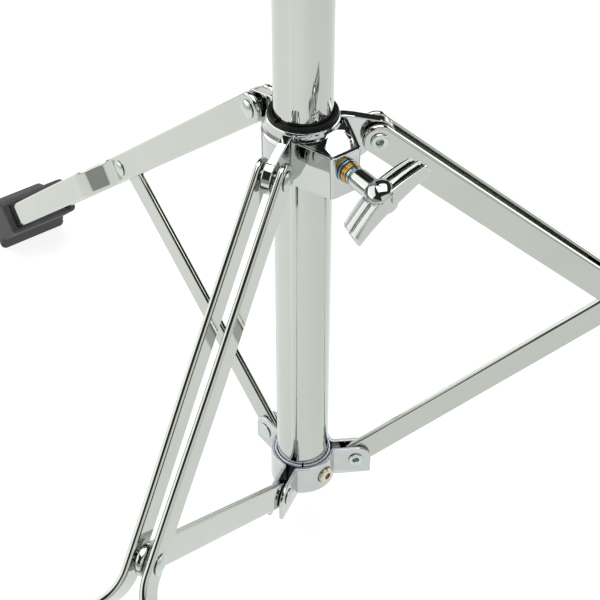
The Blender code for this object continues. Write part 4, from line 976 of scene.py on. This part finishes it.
rod_profile = [(0, 92.0), (BOLT_R - 1.0, 92.0), (BOLT_R - 0.5, 91.4)]
z = 91.0
while z > 56.0:
    rod_profile += [(BOLT_R - 0.5, z), (BOLT_R - 0.05, z - 0.4), (BOLT_R - 0.5, z - 0.8)]
    z -= 0.8
rod_profile += [(BOLT_R - 0.1, 55.6), (BOLT_R - 0.1, 13.6), (0, 13.6)]
piece("cymbal_rod_fine", lathe_bm(rod_profile, 48, closed=False), BARE, HEAD, "head", "cymbal_rod", angle=40)
piece("cup_washer_fine", lathe_bm(soften([(12.2, 26.4), (15.9, 29.35), (16.75, 29.0), (13.0, 24.4), (BOLT_R + 0.4, 24.4), (BOLT_R + 0.4, 26.4)], [1.0, 0.3, 0.3, 1.0, 0.3, 0.3], 3), 96), CHROME, HEAD, "head", "cup_washer")
piece("cymbal_sleeve_fine", lathe_bm(soften([(6.2, 52.0), (6.2, 30.2), (11.2, 30.2), (11.2, 26.8), (BOLT_R + 0.2, 26.8), (BOLT_R + 0.2, 52.0)], 0.5, 3), 72), NYLON, HEAD, "head", "cymbal_sleeve")


def felt_bm(z0, z1, seed):
    rng = random.Random(seed)
    prof = soften([(19.0, z1), (19.0, z0), (6.6, z0), (6.6, z1)], [2.6, 2.6, 0.8, 0.8], 6)
    dense = []
    for a, b in zip(prof, prof[1:] + prof[:1]):
        steps = max(1, int(math.hypot(b[0] - a[0], b[1] - a[1]) / 0.8))
        dense += [(a[0] + (b[0] - a[0]) * k / steps, a[1] + (b[1] - a[1]) * k / steps) for k in range(steps)]
    bm = lathe_bm(dense, 110)
    bm.normal_update()
    phases = [rng.uniform(0, 6.28) for _ in range(6)]
    for v in bm.verts:
        p = v.co / MM
        a = math.atan2(p.y, p.x)
        wob = 0.18 * math.sin(3 * a + phases[0] + p.z * 0.3) + 0.12 * math.sin(7 * a + phases[1]) * math.cos(p.z * 0.9 + phases[2]) + rng.uniform(-0.09, 0.09)
        v.co -= v.normal * ((0.38 + wob) * MM)
    return bm


piece("lower_felt_fine", felt_bm(30.6, 42.6, 3), FELT, HEAD, "head", "lower_felt", angle=80, weighted=False)
piece("upper_felt_fine", felt_bm(43.0, 55.0, 5), FELT, HEAD, "head", "upper_felt", angle=80, weighted=False)

nut_z = 55.4
nut_bm = lathe_bm(soften([(7.0, nut_z + 15.0), (8.0, nut_z + 13.0), (8.4, nut_z + 4.0), (11.5, nut_z + 2.0), (11.5, nut_z), (BOLT_R + 0.4, nut_z), (BOLT_R + 0.4, nut_z + 15.0)], [0.8, 1.0, 1.6, 0.7, 0.5, 0.3, 0.4], 4), 80)
wing_outline = [(5.6, nut_z + 5.0), (12.0, nut_z + 6.0), (19.0, nut_z + 11.5), (22.5, nut_z + 18.0), (21.0, nut_z + 21.0), (17.5, nut_z + 20.5), (11.0, nut_z + 14.5), (5.6, nut_z + 12.5)]
for sign in (1, -1):
    loop = soften([(x * sign, y) for x, y in wing_outline], [1.5, 3, 4, 2, 1.5, 2, 4, 1.5], 6)
    blade = plate_bm(loop, 4.4, 1.0, seg=4)
    blade.transform(Matrix.Rotation(rad(90), 4, "X"))
    nut_bm = boolean_bm(nut_bm, blade, "UNION")
piece("cymbal_wing_nut_fine", nut_bm, CHROME_CAST, HEAD, "wing_nut", "cymbal_wing_nut", angle=40)

# ------------------------------------------------------------------ studio
CAM_X, CAM_Y, CAM_Z = -1.475, -572.7, 663.74
CAM_DOWN = 40.852


def turned_point(x, y):
    c, s = math.cos(rad(VIEW_AZ)), math.sin(rad(VIEW_AZ))
    return x * c - y * s, x * s + y * c


cam_data = bpy.data.cameras.new("photo_view")
cam_data.sensor_width = 36.0
cam_data.lens = 87.9
cam = bpy.data.objects.new("photo_view", cam_data)
bpy.context.scene.collection.objects.link(cam)
cx, cy = turned_point(CAM_X, CAM_Y)
cam.location = (cx * MM, (cy + AXIS_Y) * MM, CAM_Z * MM)
cam.rotation_euler = (rad(90 - CAM_DOWN), 0, rad(VIEW_AZ))
bpy.context.scene.camera = cam

floor_bm = bmesh.new()
bmesh.ops.create_grid(floor_bm, x_segments=1, y_segments=1, size=30.0)
floor_mesh = bpy.data.meshes.new("floor")
floor_bm.to_mesh(floor_mesh)
floor_bm.free()
floor = bpy.data.objects.new("floor", floor_mesh)
bpy.context.scene.collection.objects.link(floor)
floor.location = (0, 0, -0.0002)
mat, tree, shader = node_tree("pale_floor")
coords = add(tree, "ShaderNodeTexCoord").outputs["Object"]
tone = noise(tree, coords, 0.8, 2.0, 0.5).outputs["Fac"]
pale = ramp(tree, tone, ((0.3, (0.245, 0.245, 0.244)), (0.7, (0.255, 0.255, 0.254))))
# painted light: the floor's colour and glow stay full near the stand and fade to about a third at 2 m, a painted
# falloff of light
reach = add(tree, "ShaderNodeVectorMath", {0: coords}, operation="LENGTH").outputs["Value"]
painted_light_falloff = add(tree, "ShaderNodeMapRange", {"Value": reach, "From Min": 0.75, "From Max": 2.0, "To Min": 1.0, "To Max": 0.36}, interpolation_type="SMOOTHSTEP").outputs[0]
# painted shade: the floor is up to a tenth darker towards the right of the view, standing in for shade on that side
across = add(tree, "ShaderNodeVectorMath", {0: coords, 1: (math.cos(rad(VIEW_AZ)), math.sin(rad(VIEW_AZ)), 0.0)}, operation="DOT_PRODUCT").outputs["Value"]
side = add(tree, "ShaderNodeMapRange", {"Value": across, "From Min": -0.25, "From Max": 0.35, "To Min": 1.0, "To Max": 0.9}, interpolation_type="SMOOTHSTEP").outputs[0]
# the painted falloff and the painted side shade scale both the floor's colour and its glow
level = add(tree, "ShaderNodeMath", {0: painted_light_falloff, 1: side}, operation="MULTIPLY").outputs[0]
shaded = mixed(tree, level, (0.0, 0.0, 0.0), pale.outputs["Color"])
tree.links.new(shaded, shader.inputs["Base Color"])
tree.links.new(shaded, shader.inputs["Emission Color"])
shader.inputs["Emission Strength"].default_value = 3.45
shader.inputs["Roughness"].default_value = 0.9
shader.inputs["Specular IOR Level"].default_value = 0.0
floor_mesh.materials.append(mat)
floor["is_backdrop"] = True

world = bpy.data.worlds.new("studio")
bpy.context.scene.world = world
world.use_nodes = True
tree = world.node_tree
background = tree.nodes["Background"]
direction = add(tree, "ShaderNodeTexCoord").outputs["Generated"]


def dot_with(vector):
    return add(tree, "ShaderNodeVectorMath", {0: direction, 1: tuple(vector)}, operation="DOT_PRODUCT").outputs["Value"]


def math_node(op, a, b=None):
    node = add(tree, "ShaderNodeMath", operation=op)
    for socket, value in zip(node.inputs, (a, b)):
        if value is None:
            continue
        if hasattr(value, "is_output"):
            tree.links.new(value, socket)
        else:
            socket.default_value = value
    return node.outputs[0]


def step_up(value, low, high):
    return add(tree, "ShaderNodeMapRange", {"Value": value, "From Min": low, "From Max": high}, interpolation_type="SMOOTHSTEP").outputs[0]


def card(azimuth, elevation, half_width, half_height, level, soft=0.06, roll=0.0):
    """A soft box or flag in the studio, at a direction given from the photo's viewpoint: 90 is away from it."""
    a, e = rad(azimuth + VIEW_AZ), rad(elevation)
    c = Vector((math.cos(a) * math.cos(e), math.sin(a) * math.cos(e), math.sin(e)))
    u = Vector((-math.sin(a), math.cos(a), 0.0))
    v = c.cross(u)
    if roll:
        u, v = u * math.cos(rad(roll)) + v * math.sin(rad(roll)), v * math.cos(rad(roll)) - u * math.sin(rad(roll))
    p = math_node("MAXIMUM", dot_with(c), 0.001)
    x = math_node("ABSOLUTE", math_node("DIVIDE", dot_with(u), p))
    y = math_node("ABSOLUTE", math_node("DIVIDE", dot_with(v), p))
    w, h = math.tan(rad(half_width)), math.tan(rad(half_height))
    mask = math_node("MULTIPLY", step_up(x, w + soft, w - soft), step_up(y, h + soft, h - soft))
    mask = math_node("MULTIPLY", mask, step_up(dot_with(c), 0.0, 0.05))
    return math_node("MULTIPLY", mask, level)


height = dot_with((0, 0, 1))
# a pale band along the horizon, darker behind the camera, and a dark room above it
away = Vector((math.cos(rad(90 + VIEW_AZ)), math.sin(rad(90 + VIEW_AZ)), 0.0))
front = step_up(dot_with(away), -0.35, 0.25)
band = add(tree, "ShaderNodeMapRange", {"Value": front, "To Min": 0.42, "To Max": 1.05}).outputs[0]
low_mask = step_up(height, 0.30, 0.12)
total = math_node("MULTIPLY", band, low_mask)
total = math_node("ADD", total, 0.035)
for args in (
    (100.0, 84.0, 28.0, 27.0, 3.6),
    (165.0, 26.0, 44.0, 22.0, 1.6),
    (-55.0, 24.0, 36.0, 20.0, 1.0),
    (32.0, 12.0, 30.0, 13.0, 1.9),
):
    total = math_node("ADD", total, card(*args))
tree.links.new(total, background.inputs["Strength"])
background.inputs["Color"].default_value = (1.0, 0.997, 0.985, 1.0)

bpy.context.scene.view_settings.view_transform = "Standard"

low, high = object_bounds()
